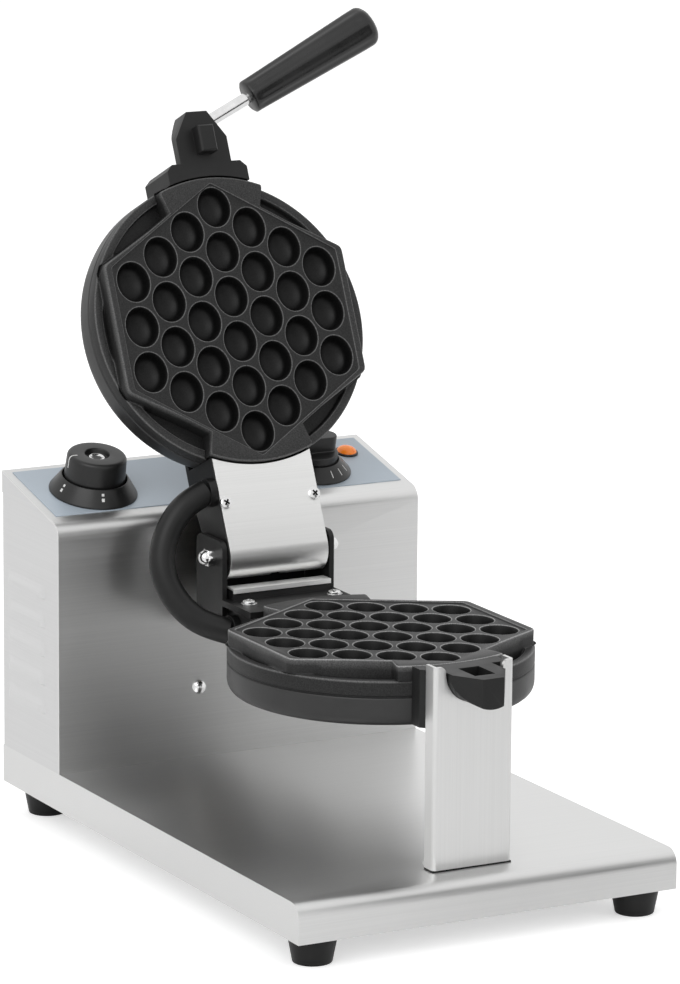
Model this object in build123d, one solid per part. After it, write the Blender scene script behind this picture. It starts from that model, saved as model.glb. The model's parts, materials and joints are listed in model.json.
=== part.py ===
from build123d import *
import math
import os

# Bubble waffle maker: a steel base with a housing at the back, and a hinged round pan
# that turns in a cradle at the front and in a bearing in the housing's front wall.
# Millimetres. X is to the right, Y to the back, Z up. The origin is on the table,
# under the middle of the base. The pan stands open.

# Base tray and feet
base_width = 250.0
base_depth = 394.5
base_height = 23.5
base_front_bend = 9.0
tray_lip = 24.0
sheet = 1.5
foot_height = 16.0
foot_top_radius = 14.0
foot_bottom_radius = 11.5
foot_inset_side = 18.0
foot_inset_front = 17.0
foot_inset_back = 26.0
foot_screw_radius = 2.0
foot_screw_head_radius = 4.0
foot_screw_head_height = 2.5
foot_screw_past_lip = 6.0
foot_band = 3.0
foot_sink_gap = 0.5
foot_nut_radius = 4.0
foot_nut_height = 3.0
screw_hole_gap = 0.2

# Housing
housing_depth = 81.5
housing_front_height = 155.3
panel_slope = 13.75
housing_bend = 9.0
back_flange = 14.0
back_recess = 8.0
louvre_count = 5
louvre_length = 54.0
louvre_height = 9.0
louvre_bulge = 2.4
louvre_pitch = 18.0
louvre_top_drop = 40.0
louvre_back_inset = 36.0
louvre_wall = 0.8
louvre_end_wall = 1.5
louvre_mouth = 2.0
slot_height = 3.0
back_screw_radius = 1.5
back_screw_inset = 9.0
gland_height = 34.0
gland_side = 70.0
gland_bore_radius = 4.5
gland_wall = 3.5
gland_flange = 3.0
gland_flange_rim = 2.5
gland_tail = 6.0
gland_tail_rim = 1.0

# Controls on the sloped panel
overlay_thickness = 0.5
overlay_inset = 5.0
thermostat_side = 82.0
timer_side = 70.0
bezel_radius = 27.5
bezel_top_radius = 21.0
bezel_height = 10.5
bezel_wall = 1.6
bezel_edge = 1.0
knob_radius = 19.4
knob_top_radius = 18.4
knob_height = 26.0
knob_edge = 4.0
knob_recess_radius = 7.5
knob_recess_depth = 3.0
knob_gap = 0.8
knob_lift = 1.5
knob_recess_slope = 2.0
knob_wall = 3.0
knob_roof = 4.0
knob_boss_wall = 3.0
knob_boss_roof = 2.0
knob_socket_roof = 3.0
cap_radius = 5.0
cap_height = 1.2
spindle_radius = 3.0
spindle_clearance = 0.05
spindle_tail = 6.0
spindle_socket = 7.0
spindle_end_gap = 0.5
spindle_hole_radius = 4.0
timer_bezel_radius = 25.5
timer_bezel_top_radius = 17.5
timer_bezel_height = 8.5
timer_disc_radius = 16.0
timer_disc_height = 4.0
timer_skirt = 4.0
timer_bar_length = 30.0
timer_bar_width = 12.0
timer_bar_height = 23.5
timer_socket_roof = 4.0
lamp_side = 104.5
lamp_up_panel = 17.0
lamp_radius = 6.3
lamp_height = 4.0
lamp_collar = 1.2
lamp_collar_rim = 1.0
lamp_hole_step = 1.0
lamp_tail = 8.0
lamp_slope = 2.5
lamp_crown = 0.6
thermostat_body_radius = 17.0
thermostat_body_depth = 34.0
timer_body_size = 42.0
timer_body_depth = 38.0
terminal_length = 62.0
terminal_width = 18.0
terminal_height = 20.0
terminal_ways = 5
terminal_slot = 1.6
terminal_back_gap = 3.0

# Pan: two cast plates with oval cells, each in a round cover
pan_rise = 117.5
pan_reach = 179.5
pan_radius = 91.0
cell_pitch = 28.56
column_pitch = 21.33
cell_half_width = 10.9
cell_half_length = 12.6
cell_wall_depth = 6.5
cell_depth = 10.8
cell_wall_taper = 0.86
cell_floor_share = 0.5
middle_column_cells = 6
outer_column = 3
land_half_width = 82.0
land_corner = 40.0
land_apex = 86.0
land_round = 4.0
arc_land_half_width = 36.0
field_depth = 1.2
field_half_width = 76.6
field_corner = 38.3
plate_thickness = 19.0
plate_lip_drop = 9.0
plate_lip_width = 6.0
trough_drop = 14.0
parting_step = 0.6
parting_height = 0.8
mating_gap = 0.3
cover_depth = 17.5
cover_wall = 3.0
cover_round = 8.0
heater_radius = 58.0
heater_width = 12.0
heater_thickness = 6.0
heater_pin_side = 12.0
heater_pin_width = 4.0
heater_pin_length = 22.0
heater_pin_thickness = 3.0
seat_gap = 0.3

# Hinge between the two halves
hinge_reach = 143.1
hinge_rise = 18.0
lid_open_angle = 114.7
pin_radius = 3.0
pin_clearance = 0.05
barrel_radius = 13.6
arm_half_width = 34.0
arm_foot_length = 44.0
arm_foot_thickness = 4.0
arm_foot_past_pan = 6.0
arm_screw_side = 18.0
arm_screw_inset = 30.0
hinge_sheet = 1.2
hinge_cover_radius = 15.1
hinge_cover_half_width = 33.5
hinge_cover_curl = 84.0
notch_size = 5.0
cover_screw_reach = 113.5
cover_screw_side = 30.4
screw_radius = 2.0
screw_head_radius = 3.8
screw_head_height = 2.2
screw_length = 8.0
cheek_thickness = 3.3
cheek_gap = 1.2
cheek_front = 13.1
cheek_back = 21.9
cheek_top = 11.5
cheek_round = 6.0
bracket_top_drop = 6.2
bracket_depth = 14.0
bracket_front_reach = 93.0
boss_past_hinge = 4.0
boss_link = 2.0
bracket_plate = 4.0
bracket_boss_reach = 4.0
bracket_boss_wall = 5.0
bracket_screw_reach = 112.5
bracket_screw_side = 29.4
washer_radius = 5.0
washer_height = 0.8
rib_front = 17.5
rib_length = 8.5
rib_height = 6.0
strip_lip = 3.0
nut_across = 10.0
nut_height = 5.0
nut_dome = 4.5
nut_corner = 0.4

# Pivot of the whole pan
shaft_radius = 14.0
shaft_bore_radius = 9.5
shaft_clearance = 0.05
shaft_inside = 34.0
bush_radius = 19.0
bush_flange_radius = 24.0
bush_flange = 3.0
collar_radius = 20.0
collar_length = 8.0
collar_gap = 0.3
bearing_plate = 4.0
bearing_half_width = 40.0
bearing_length = 24.0
bearing_radius = 24.0
bearing_bolt_side = 29.2
bearing_bolt_drop = 72.9
bearing_past_bolt = 14.0
bearing_past_ring = 4.0
bearing_bolt_past_plate = 5.0

# Front lugs, cradle and handle
lug_half_width = 27.5
lug_front = 100.0
lug_tip = 133.0
lug_tip_half_width = 7.0
lug_shoulder = 116.0
lug_chamfer = 4.0
lug_bottom_step = 2.0
journal_radius = 18.5
journal_half_width = 17.5
peg_reach = 113.5
peg_width = 11.0
peg_length = 17.0
peg_height = 9.0
peg_gap = 1.2
peg_chamfer = 1.0
cradle_width = 52.0
cradle_depth = 10.7
cradle_front_reach = 111.2
cradle_sheet = 2.0
cradle_above_mate = 3.8
cradle_gap = 0.3
cradle_fold = 2.5
ear_round = 3.5
cradle_foot = 16.0
cradle_pad = 1.0
cradle_screw_side = 14.0
rod_radius = 4.0
rod_root = (2.0, 124.0, 11.6)
rod_direction = (0.889, 0.3925, -0.2354)
rod_visible = 41.0
rod_in_grip = 30.0
grip_length = 94.0
grip_small_radius = 11.0
grip_large_radius = 13.6
grip_end_round = 6.0
grip_edge = 1.0

# Wire sleeve from the lid to the lower pan
sleeve_radius = 8.0
gland_length = 5.0
gland_radius = 8.8

# Derived levels and places
z_tray_bottom = foot_height
z_tray = foot_height + base_height
y_front = -base_depth / 2
y_back = base_depth / 2
y_housing = y_back - housing_depth
x_side = base_width / 2
z_mate = z_tray + pan_rise
y_pan = y_housing - pan_reach
y_hinge = y_pan + hinge_reach
z_hinge = z_mate + hinge_rise
slope = math.radians(panel_slope)
half_gap = mating_gap / 2
hinge_axis = Axis((0, y_hinge, z_hinge), (1, 0, 0))


def panel_top(y):
    """Height of the sloped panel's outside at this Y."""
    return z_tray + housing_front_height + (y - y_housing) * math.tan(slope)


y_panel_middle = (y_housing + y_back) / 2
panel = Plane(
    origin=(0, y_panel_middle, panel_top(y_panel_middle)),
    x_dir=(1, 0, 0),
    z_dir=(0, -math.sin(slope), math.cos(slope)),
)


def block(x0, x1, y0, y1, z0, z1):
    """A box between two corners."""
    middle = Pos((x0 + x1) / 2, (y0 + y1) / 2, (z0 + z1) / 2)
    return middle * Box(x1 - x0, y1 - y0, z1 - z0)


def post(x, y, z0, z1, radius):
    """An upright cylinder."""
    return Pos(x, y, (z0 + z1) / 2) * Cylinder(radius, z1 - z0)


def rod_along_x(x0, x1, y, z, radius):
    """A cylinder along X."""
    return Pos((x0 + x1) / 2, y, z) * Rot(0, 90, 0) * Cylinder(radius, x1 - x0)


def rod_along_y(x, y0, y1, z, radius):
    """A cylinder along Y."""
    return Pos(x, (y0 + y1) / 2, z) * Rot(90, 0, 0) * Cylinder(radius, y1 - y0)


def side_profile(points, x0, x1):
    """A prism along X from points given as (y, z)."""
    outline = Polyline(*[(x0, y, z) for y, z in points], close=True)
    return extrude(make_face(outline), amount=x1 - x0, dir=(1, 0, 0))


def plan_profile(points, z0, z1):
    """An upright prism from points given as (x, y)."""
    outline = Polyline(*[(x, y, z0) for x, y in points], close=True)
    return extrude(make_face(outline), amount=z1 - z0, dir=(0, 0, 1))


def turned(points):
    """A solid of revolution about Z from points given as (radius, z)."""
    outline = Polyline(*[(r, 0, z) for r, z in points], close=True)
    return revolve(make_face(outline), Axis.Z)


def on_panel(x, up_panel, shape):
    """A shape made about the origin, set on the sloped panel."""
    return panel.location * Pos(x, up_panel, 0) * shape


def opened(shape):
    """A part of the lid, made with the lid closed, at its open place."""
    return shape.rotate(hinge_axis, -lid_open_angle)


def pan_head_screw(x, y, z_seat, down=1):
    """A pan-head screw whose head stands on z_seat, with its shank going down or up."""
    head = post(x, y, min(z_seat, z_seat + down * screw_head_height),
                max(z_seat, z_seat + down * screw_head_height), screw_head_radius)
    shank = post(x, y, min(z_seat, z_seat - down * screw_length),
                 max(z_seat, z_seat - down * screw_length), screw_radius)
    return head + shank


def base_tray():
    """Bent sheet tray with turned-in lips along its lower edge."""
    outer = block(-x_side, x_side, y_front, y_back, z_tray_bottom, z_tray)
    top_front = outer.edges().filter_by(Axis.X).group_by(Axis.Z)[-1].sort_by(Axis.Y)[0]
    outer = fillet(top_front, base_front_bend)
    hollow = block(-x_side + sheet, x_side - sheet, y_front + sheet, y_back - sheet,
                   z_tray_bottom + sheet, z_tray - sheet)
    top_front = hollow.edges().filter_by(Axis.X).group_by(Axis.Z)[-1].sort_by(Axis.Y)[0]
    hollow = fillet(top_front, base_front_bend - sheet)
    window = block(-x_side + tray_lip, x_side - tray_lip, y_front + tray_lip,
                   y_back - tray_lip, z_tray_bottom, z_tray_bottom + sheet)
    tray = outer - hollow - window
    for x, y in foot_places():
        tray -= post(x, y, z_tray_bottom, z_tray_bottom + sheet, foot_screw_radius + screw_hole_gap)
    for side in (-1, 1):
        tray -= post(side * cradle_screw_side, cradle_screw_y(), z_tray - sheet, z_tray,
                     screw_radius + screw_hole_gap)
    return tray


def foot_places():
    """Centres of the four feet: front left, front right, back left, back right."""
    x = x_side - foot_inset_side
    front = y_front + foot_inset_front
    back = y_back - foot_inset_back
    return [(-x, front), (x, front), (-x, back), (x, back)]


def rubber_foot(x, y):
    """Tapered rubber foot, wider at the top, with a sunk screw hole from below."""
    bore = foot_screw_radius + screw_hole_gap
    sink = foot_screw_head_radius + foot_sink_gap
    profile = [(bore, foot_height), (foot_top_radius, foot_height),
               (foot_top_radius, foot_height - foot_band), (foot_bottom_radius, 0), (sink, 0),
               (sink, foot_height / 2), (bore, foot_height / 2)]
    return Pos(x, y, 0) * turned(profile)


def foot_screws():
    """One screw up through each foot into the tray's lip, and its nut."""
    screws = []
    top = z_tray_bottom + sheet + foot_screw_past_lip
    for x, y in foot_places():
        head_top = foot_height / 2
        head = post(x, y, head_top - foot_screw_head_height, head_top, foot_screw_head_radius)
        shank = post(x, y, head_top, top, foot_screw_radius)
        nut = Pos(x, y, z_tray_bottom + sheet) * extrude(
            RegularPolygon(foot_nut_radius, 6), foot_nut_height)
        screws.append(head + shank + nut)
    return screws


def wrap_outline(inset):
    """Side outline of the housing's bent front and top, moved in by inset."""
    y0 = y_housing + inset
    y1 = y_back - inset
    drop = inset / math.cos(slope)
    points = [(y0, z_tray), (y0, panel_top(y0) - drop), (y1, panel_top(y1) - drop), (y1, z_tray)]
    return points


def housing_wrap():
    """Front wall and sloped top bent from one sheet, with a short flange down the back."""
    outer = side_profile(wrap_outline(0), -x_side, x_side)
    edge = outer.edges().filter_by(Axis.X).group_by(Axis.Z)[-2]
    outer = fillet(edge, housing_bend)
    inner = side_profile(wrap_outline(sheet), -x_side, x_side)
    edge = inner.edges().filter_by(Axis.X).group_by(Axis.Z)[-2]
    inner = fillet(edge, housing_bend - sheet)
    below_flange = block(-x_side, x_side, y_back - 2 * sheet, y_back + sheet, z_tray,
                         panel_top(y_back) - back_flange)
    wrap = outer - inner - below_flange
    wrap -= rod_along_y(0, y_housing, y_housing + sheet, z_mate, bush_radius + seat_gap)
    for side in (-1, 1):
        wrap -= rod_along_y(side * bearing_bolt_side, y_housing, y_housing + sheet,
                            z_mate - bearing_bolt_drop, pin_radius + screw_hole_gap)
    holes = [(-thermostat_side, 0, spindle_hole_radius), (timer_side, 0, spindle_hole_radius),
             (lamp_side, lamp_up_panel, lamp_radius - lamp_hole_step)]
    for x, up_panel, radius in holes:
        wrap -= on_panel(x, up_panel, Cylinder(radius, 4 * sheet))
    return wrap


def side_panel(side):
    """Flat side wall inside the wrap, with a stack of pressed louvres at the back."""
    outline = side_profile(wrap_outline(sheet), -x_side, -x_side + sheet)
    edge = outline.edges().filter_by(Axis.X).group_by(Axis.Z)[-2]
    wall = fillet(edge, housing_bend - sheet)
    y1 = y_back - louvre_back_inset + louvre_length / 2
    y0 = y1 - louvre_length
    for number in range(louvre_count):
        top = panel_top(y_housing) - louvre_top_drop - number * louvre_pitch
        bottom = top - louvre_height
        bulge = [(-x_side + sheet, top), (-x_side, top),
                 (-x_side - louvre_bulge, bottom + louvre_mouth), (-x_side - louvre_bulge, bottom),
                 (-x_side + sheet, bottom)]
        face = make_face(Polyline(*[(x, y0, z) for x, z in bulge], close=True))
        wall += extrude(face, amount=louvre_length, dir=(0, 1, 0))
        wall -= block(-x_side - louvre_bulge + louvre_wall, -x_side + sheet,
                      y0 + louvre_end_wall, y1 - louvre_end_wall,
                      bottom - slot_height, bottom + louvre_end_wall)
        wall -= block(-x_side, -x_side + sheet, y0 + louvre_end_wall, y1 - louvre_end_wall,
                      bottom, bottom + slot_height)
    return wall if side < 0 else mirror(wall, about=Plane.YZ)


def back_panel():
    """Flat sheet that closes the back, set in behind the flange."""
    y1 = y_back - back_recess
    wall = block(-x_side + 2 * sheet, x_side - 2 * sheet, y1 - sheet, y1,
                 z_tray, panel_top(y1) - 3 * sheet)
    wall -= rod_along_y(-gland_side, y1 - sheet, y1, z_tray + gland_height,
                        gland_bore_radius + gland_wall + screw_hole_gap)
    for x, z in back_screw_places():
        wall -= rod_along_y(x, y1 - sheet, y1, z, back_screw_radius + screw_hole_gap)
    return wall


def back_screw_places():
    """Four screws near the back panel's corners, as (x, z)."""
    x = x_side - 2 * sheet - back_screw_inset
    low = z_tray + back_screw_inset
    high = panel_top(y_back) - back_flange - 2 * back_screw_inset
    return [(-x, low), (x, low), (-x, high), (x, high)]


def back_screws():
    """Pan heads behind the panel with their shanks in the corner posts."""
    y1 = y_back - back_recess
    screws = []
    for x, z in back_screw_places():
        head = rod_along_y(x, y1, y1 + screw_head_height, z, screw_head_radius)
        screws.append(head + rod_along_y(x, y1 - screw_length, y1, z, back_screw_radius))
    return screws


def cable_gland():
    """Moulded bush in the back panel for the mains lead."""
    y1 = y_back - back_recess
    z = z_tray + gland_height
    outer = gland_bore_radius + gland_wall
    body = rod_along_y(-gland_side, y1 - sheet - gland_tail, y1 + gland_flange, z, outer)
    body += rod_along_y(-gland_side, y1, y1 + gland_flange, z,
                        outer + gland_flange_rim)
    body += rod_along_y(-gland_side, y1 - sheet - gland_tail, y1 - sheet, z,
                        outer + gland_tail_rim)
    return body - rod_along_y(-gland_side, y1 - sheet - gland_tail, y1 + gland_flange, z,
                              gland_bore_radius)


def terminal_block():
    """Row of screw terminals on the tray inside the housing."""
    y = y_back - back_recess - sheet - terminal_back_gap - terminal_width / 2
    body = block(0, terminal_length, y - terminal_width / 2, y + terminal_width / 2,
                 z_tray, z_tray + terminal_height)
    pitch = terminal_length / terminal_ways
    for way in range(1, terminal_ways):
        body -= block(way * pitch - terminal_slot / 2, way * pitch + terminal_slot / 2,
                      y - terminal_width / 2,
                      y + terminal_width / 2, z_tray + terminal_height / 2,
                      z_tray + terminal_height)
    return body


def control_overlay():
    """Thin film on the sloped panel, with holes for the spindles and the lamp."""
    length = (housing_depth - housing_bend) / math.cos(slope) - 2 * overlay_inset
    shift = housing_bend / 2
    film = Pos(0, shift, overlay_thickness / 2) * Box(base_width - 2 * overlay_inset, length,
                                                     overlay_thickness)
    film -= Pos(-thermostat_side, 0, 0) * Cylinder(spindle_hole_radius, 4 * sheet)
    film -= Pos(timer_side, 0, 0) * Cylinder(spindle_hole_radius, 4 * sheet)
    film -= Pos(lamp_side, lamp_up_panel, 0) * Cylinder(lamp_radius - lamp_hole_step, 4 * sheet)
    return panel.location * film


def bezel(x, radius, top_radius, height, bore):
    """Fixed conical dial ring round a knob."""
    z0 = overlay_thickness
    profile = [(bore, z0), (radius, z0), (radius, z0 + bezel_edge), (top_radius, z0 + height),
               (bore, z0 + height)]
    ring = turned(profile)
    hollow = [(0, z0), (radius - 2 * bezel_wall, z0),
              (bore, z0 + height - 2 * bezel_wall), (0, z0 + height)]
    return on_panel(x, 0, ring - turned(hollow))


def thermostat_knob():
    """Round knob with a rounded edge and a sunk top, hollow below."""
    low = overlay_thickness + knob_lift
    high = knob_height
    outline = Polyline((0, 0, low), (knob_radius, 0, low), (knob_top_radius, 0, high),
                       (knob_recess_radius + knob_recess_slope, 0, high),
                       (knob_recess_radius, 0, high - knob_recess_depth),
                       (0, 0, high - knob_recess_depth), close=True)
    face = make_face(outline)
    corner = face.vertices().sort_by(Axis.Z)[-2:].sort_by(Axis.X)[-1]
    face = fillet(corner, knob_edge)
    knob = revolve(face, Axis.Z)
    knob -= post(0, 0, low, high - knob_recess_depth - knob_roof, knob_radius - knob_wall)
    knob += post(0, 0, low, high - knob_recess_depth - knob_boss_roof,
                 spindle_radius + knob_boss_wall)
    knob -= post(0, 0, low, high - knob_recess_depth - knob_socket_roof,
                 spindle_radius + spindle_clearance)
    return on_panel(-thermostat_side, 0, knob)


def knob_cap():
    """Bright disc in the knob's sunk top."""
    z0 = knob_height - knob_recess_depth
    return on_panel(-thermostat_side, 0, post(0, 0, z0, z0 + cap_height, cap_radius))


def spindle(x, top):
    """Control spindle from the switch body up into its knob."""
    return on_panel(x, 0, post(0, 0, -sheet - spindle_tail, top, spindle_radius))


def timer_knob():
    """Pointer knob: a disc with a bar across it."""
    z0 = overlay_thickness + timer_bezel_height + knob_gap
    disc = post(0, 0, z0 - timer_skirt, z0 + timer_disc_height, timer_disc_radius)
    bar = extrude(SlotOverall(timer_bar_length, timer_bar_width),
                  timer_bar_height - z0 - timer_disc_height)
    knob = disc + Pos(0, 0, z0 + timer_disc_height) * bar
    knob -= post(0, 0, z0 - timer_skirt, timer_bar_height - timer_socket_roof,
                 spindle_radius + spindle_clearance)
    return on_panel(timer_side, 0, knob)


def indicator_lamp():
    """Round lens with its collar and snap-in body."""
    base = overlay_thickness
    neck = lamp_radius - lamp_hole_step - screw_hole_gap
    rim = lamp_radius + lamp_collar_rim
    lens = Polyline((0, 0, -lamp_tail), (neck, 0, -lamp_tail), (neck, 0, base), (rim, 0, base),
                    (rim, 0, base + lamp_collar), (lamp_radius, 0, base + lamp_collar),
                    (lamp_radius - lamp_slope, 0, base + lamp_height),
                    (0, 0, base + lamp_height + lamp_crown), close=True)
    return on_panel(lamp_side, lamp_up_panel, revolve(make_face(lens), Axis.Z))


def thermostat_body():
    """Thermostat under the panel, with a clear bore for its spindle."""
    body = post(0, 0, -sheet - thermostat_body_depth, -sheet, thermostat_body_radius)
    body -= post(0, 0, -sheet - spindle_socket, -sheet, spindle_radius + spindle_clearance)
    return on_panel(-thermostat_side, 0, body)


def timer_body():
    """Clockwork timer under the panel."""
    half = timer_body_size / 2
    body = block(-half, half, -half, half, -sheet - timer_body_depth, -sheet)
    body -= post(0, 0, -sheet - spindle_socket, -sheet, spindle_radius + spindle_clearance)
    return on_panel(timer_side, 0, body)


def land_points():
    """Six-sided outline of the plate's raised face about the pan's centre."""
    return [(land_half_width, -land_corner), (land_half_width, land_corner), (0, land_apex),
            (-land_half_width, land_corner), (-land_half_width, -land_corner), (0, -land_apex)]


def field_points():
    """Outline of the sunk field that holds the cells."""
    return [(field_half_width, -field_corner), (field_half_width, field_corner), (0, land_apex),
            (-field_half_width, field_corner), (-field_half_width, -field_corner),
            (0, -land_apex)]


def cell_places():
    """Centres of the cells: seven columns, with one cell fewer in each column outwards."""
    places = []
    for column in range(-outer_column, outer_column + 1):
        count = middle_column_cells - abs(column)
        for number in range(count):
            places.append((column * column_pitch, (number - (count - 1) / 2) * cell_pitch))
    return places


def cell():
    """Oval cell: a steep wall, then a bowl down to a small flat floor, below z = 0."""
    def ring(share, z):
        return Pos(0, 0, z) * Ellipse(cell_half_width * share, cell_half_length * share)
    wall = loft([ring(1, 0), ring(cell_wall_taper, -cell_wall_depth)], ruled=True)
    bowl = loft([ring(cell_wall_taper, -cell_wall_depth), ring(cell_floor_share, -cell_depth)],
                ruled=True)
    return wall + bowl


def cell_plate():
    """Cast plate about the pan's centre, face up, with its mating plane at z = 0."""
    rim = post(0, 0, -plate_thickness + parting_height, -plate_lip_drop, pan_radius)
    step = post(0, 0, -plate_thickness, -plate_thickness + parting_height,
                pan_radius - parting_step)
    trough = post(0, 0, -trough_drop, -plate_lip_drop, pan_radius - plate_lip_width)
    hexagon = plan_profile(land_points(), -trough_drop, -half_gap)
    corners = hexagon.edges().filter_by(Axis.Z).sort_by(Axis.X)
    hexagon = fillet(corners[:2] + corners[-2:], land_round)
    sector = block(-arc_land_half_width, arc_land_half_width, -pan_radius, pan_radius,
                   -trough_drop, -half_gap)
    sector &= post(0, 0, -trough_drop, -half_gap, pan_radius - parting_step)
    plate = (rim - trough) + step + hexagon + sector
    plate -= plan_profile(field_points(), -half_gap - field_depth, 0)
    cells = [Pos(x, y, -half_gap - field_depth) * cell() for x, y in cell_places()]
    return plate - cells


def cover_shell():
    """Round cover below the plate, about the pan's centre, open at the top."""
    top = -plate_thickness
    outer = post(0, 0, top - cover_depth, top, pan_radius)
    outer = fillet(outer.edges().group_by(Axis.Z)[0], cover_round)
    inner = post(0, 0, top - cover_depth + cover_wall, top, pan_radius - cover_wall)
    return outer - inner


def heater_ring():
    """Ring heater against the plate's back, with its two terminal pins."""
    top = -plate_thickness
    ring = post(0, 0, top - heater_thickness, top, heater_radius + heater_width / 2)
    ring -= post(0, 0, top - heater_thickness, top, heater_radius - heater_width / 2)
    for side in (-1, 1):
        x = side * heater_pin_side
        ring += block(x - heater_pin_width / 2, x + heater_pin_width / 2, heater_radius,
                      heater_radius + heater_pin_length, top - heater_thickness,
                      top - heater_thickness + heater_pin_thickness)
    return ring


def below(shape):
    """A half made face up about the pan's centre, as the lower half."""
    return Pos(0, y_pan, z_mate) * shape


def above(shape):
    """The same half turned over as the closed lid's half."""
    return Pos(0, y_pan, z_mate) * Rot(0, 180, 0) * shape


def lower_cover():
    """Lower cover with the boss behind it that the hinge bracket is screwed to."""
    cover = cover_shell()
    z0 = -plate_thickness - cover_depth + cover_wall
    z1 = -bracket_top_drop - bracket_plate
    boss = block(-arm_half_width, arm_half_width, 0, hinge_reach + boss_past_hinge, z0, z1)
    boss -= post(0, 0, z0, z1, pan_radius + seat_gap)
    link = block(-arm_half_width, arm_half_width, 0, pan_radius + boss_link, z0,
                 -plate_thickness)
    link -= post(0, 0, z0, -plate_thickness, pan_radius - 1)
    cover = cover + boss + link
    for side in (-1, 1):
        cover -= post(side * bracket_screw_side, bracket_screw_reach,
                      z1 - screw_length, z1, screw_radius + screw_hole_gap)
    return below(cover)


def half_journal(top):
    """Front lug below z = 0: a flange against the pan and a half-round tapered tongue."""
    depth = plate_thickness + cover_depth - lug_bottom_step
    flange = block(-lug_half_width, lug_half_width, -lug_front, 0, -depth, -top)
    flange -= post(0, 0, -depth, 0, pan_radius + seat_gap)
    shoulder = flange.edges().filter_by(Axis.Z).group_by(Axis.Y)[0]
    flange = chamfer(shoulder, lug_chamfer)
    tongue = rod_along_y(0, -lug_tip, -lug_front, 0, journal_radius)
    outline = [(-journal_half_width, -lug_front), (journal_half_width, -lug_front),
               (journal_half_width, -lug_shoulder), (lug_tip_half_width, -lug_tip),
               (-lug_tip_half_width, -lug_tip), (-journal_half_width, -lug_shoulder)]
    tongue &= plan_profile(outline, -journal_radius, -top)
    return flange + tongue


def lower_lug():
    """Lower front lug with the hole that takes the upper lug's peg."""
    lug = half_journal(half_gap)
    hole_width = peg_width / 2 + peg_gap
    hole_length = peg_length / 2 + peg_gap
    lug -= block(-hole_width, hole_width, -peg_reach - hole_length, -peg_reach + hole_length,
                 -journal_radius, 0)
    return below(lug)


def upper_lug():
    """Upper front lug with its square peg and the tapped hole for the handle's rod."""
    lug = half_journal(half_gap)
    peg = block(-peg_width / 2, peg_width / 2, -peg_reach - peg_length / 2,
                -peg_reach + peg_length / 2, -half_gap - 1, peg_height)
    closed = above(lug + chamfer(peg.faces().sort_by(Axis.Z)[-1].edges(), peg_chamfer))
    return opened(closed - along_rod(0, rod_visible, rod_radius + pin_clearance))


def rod_place(distance):
    """A point along the handle's axis, with the lid closed."""
    x, forward, up = rod_root
    dx, df, dz = rod_direction
    length = math.hypot(dx, df, dz)
    step = distance / length
    return Vector(x + dx * step, y_pan - forward - df * step, z_mate + up + dz * step)


def rod_plane(distance):
    """Plane square to the handle's axis, with the lid closed."""
    dx, df, dz = rod_direction
    return Plane(origin=rod_place(distance), z_dir=(dx, -df, dz))


def along_rod(start, length, radius):
    """A cylinder along the handle's axis, with the lid closed."""
    return rod_plane(start).location * post(0, 0, 0, length, radius)


def handle_rod():
    """Bright steel rod from the upper lug into the grip."""
    return opened(along_rod(0, rod_visible + rod_in_grip, rod_radius))


def handle_grip():
    """Tapered grip, thicker towards its rounded end."""
    bore = rod_radius + pin_clearance
    outline = Polyline((0, 0, 0), (grip_small_radius - grip_edge, 0, 0), (grip_small_radius, 0, grip_edge),
                       (grip_large_radius, 0, grip_length - 2 * grip_end_round),
                       (grip_large_radius, 0, grip_length), (0, 0, grip_length), close=True)
    face = make_face(outline)
    corner = face.vertices().sort_by(Axis.Z)[-2:].sort_by(Axis.X)[-1]
    grip = revolve(fillet(corner, grip_end_round), Axis.Z)
    grip -= post(0, 0, 0, rod_in_grip, bore)
    return opened(rod_plane(rod_visible).location * grip)


def hinge_arm():
    """Cast arm from the upper cover's back down to the hinge barrel."""
    z_under = hinge_rise - hinge_cover_radius + hinge_sheet
    z_over = plate_thickness + cover_depth
    reach = hinge_reach
    points = [(pan_radius - arm_foot_length, z_over), (pan_radius - arm_foot_length,
              z_over + arm_foot_thickness), (pan_radius + arm_foot_past_pan, z_over + arm_foot_thickness),
              (reach, hinge_rise + barrel_radius), (reach, z_under), (0, z_under)]
    arm = side_profile(points, -arm_half_width, arm_half_width)
    arm += rod_along_x(-arm_half_width, arm_half_width, reach, hinge_rise, barrel_radius)
    arm -= post(0, 0, 0, z_over, pan_radius + seat_gap)
    arm -= rod_along_x(-arm_half_width, arm_half_width, reach, hinge_rise,
                       pin_radius + pin_clearance)
    for side in (-1, 1):
        arm -= post(side * cover_screw_side, cover_screw_reach, z_under,
                    z_under + screw_length, screw_radius + screw_hole_gap)
    return opened(Pos(0, y_pan, z_mate) * arm)


def arm_screws():
    """Two screws through the arm's foot into the upper cover."""
    z = plate_thickness + cover_depth + arm_foot_thickness
    y = pan_radius - arm_screw_inset
    heads = [post(side * arm_screw_side, y, z, z + screw_head_height, screw_head_radius) for side in (-1, 1)]
    return [opened(Pos(0, y_pan, z_mate) * head) for head in heads]


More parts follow.
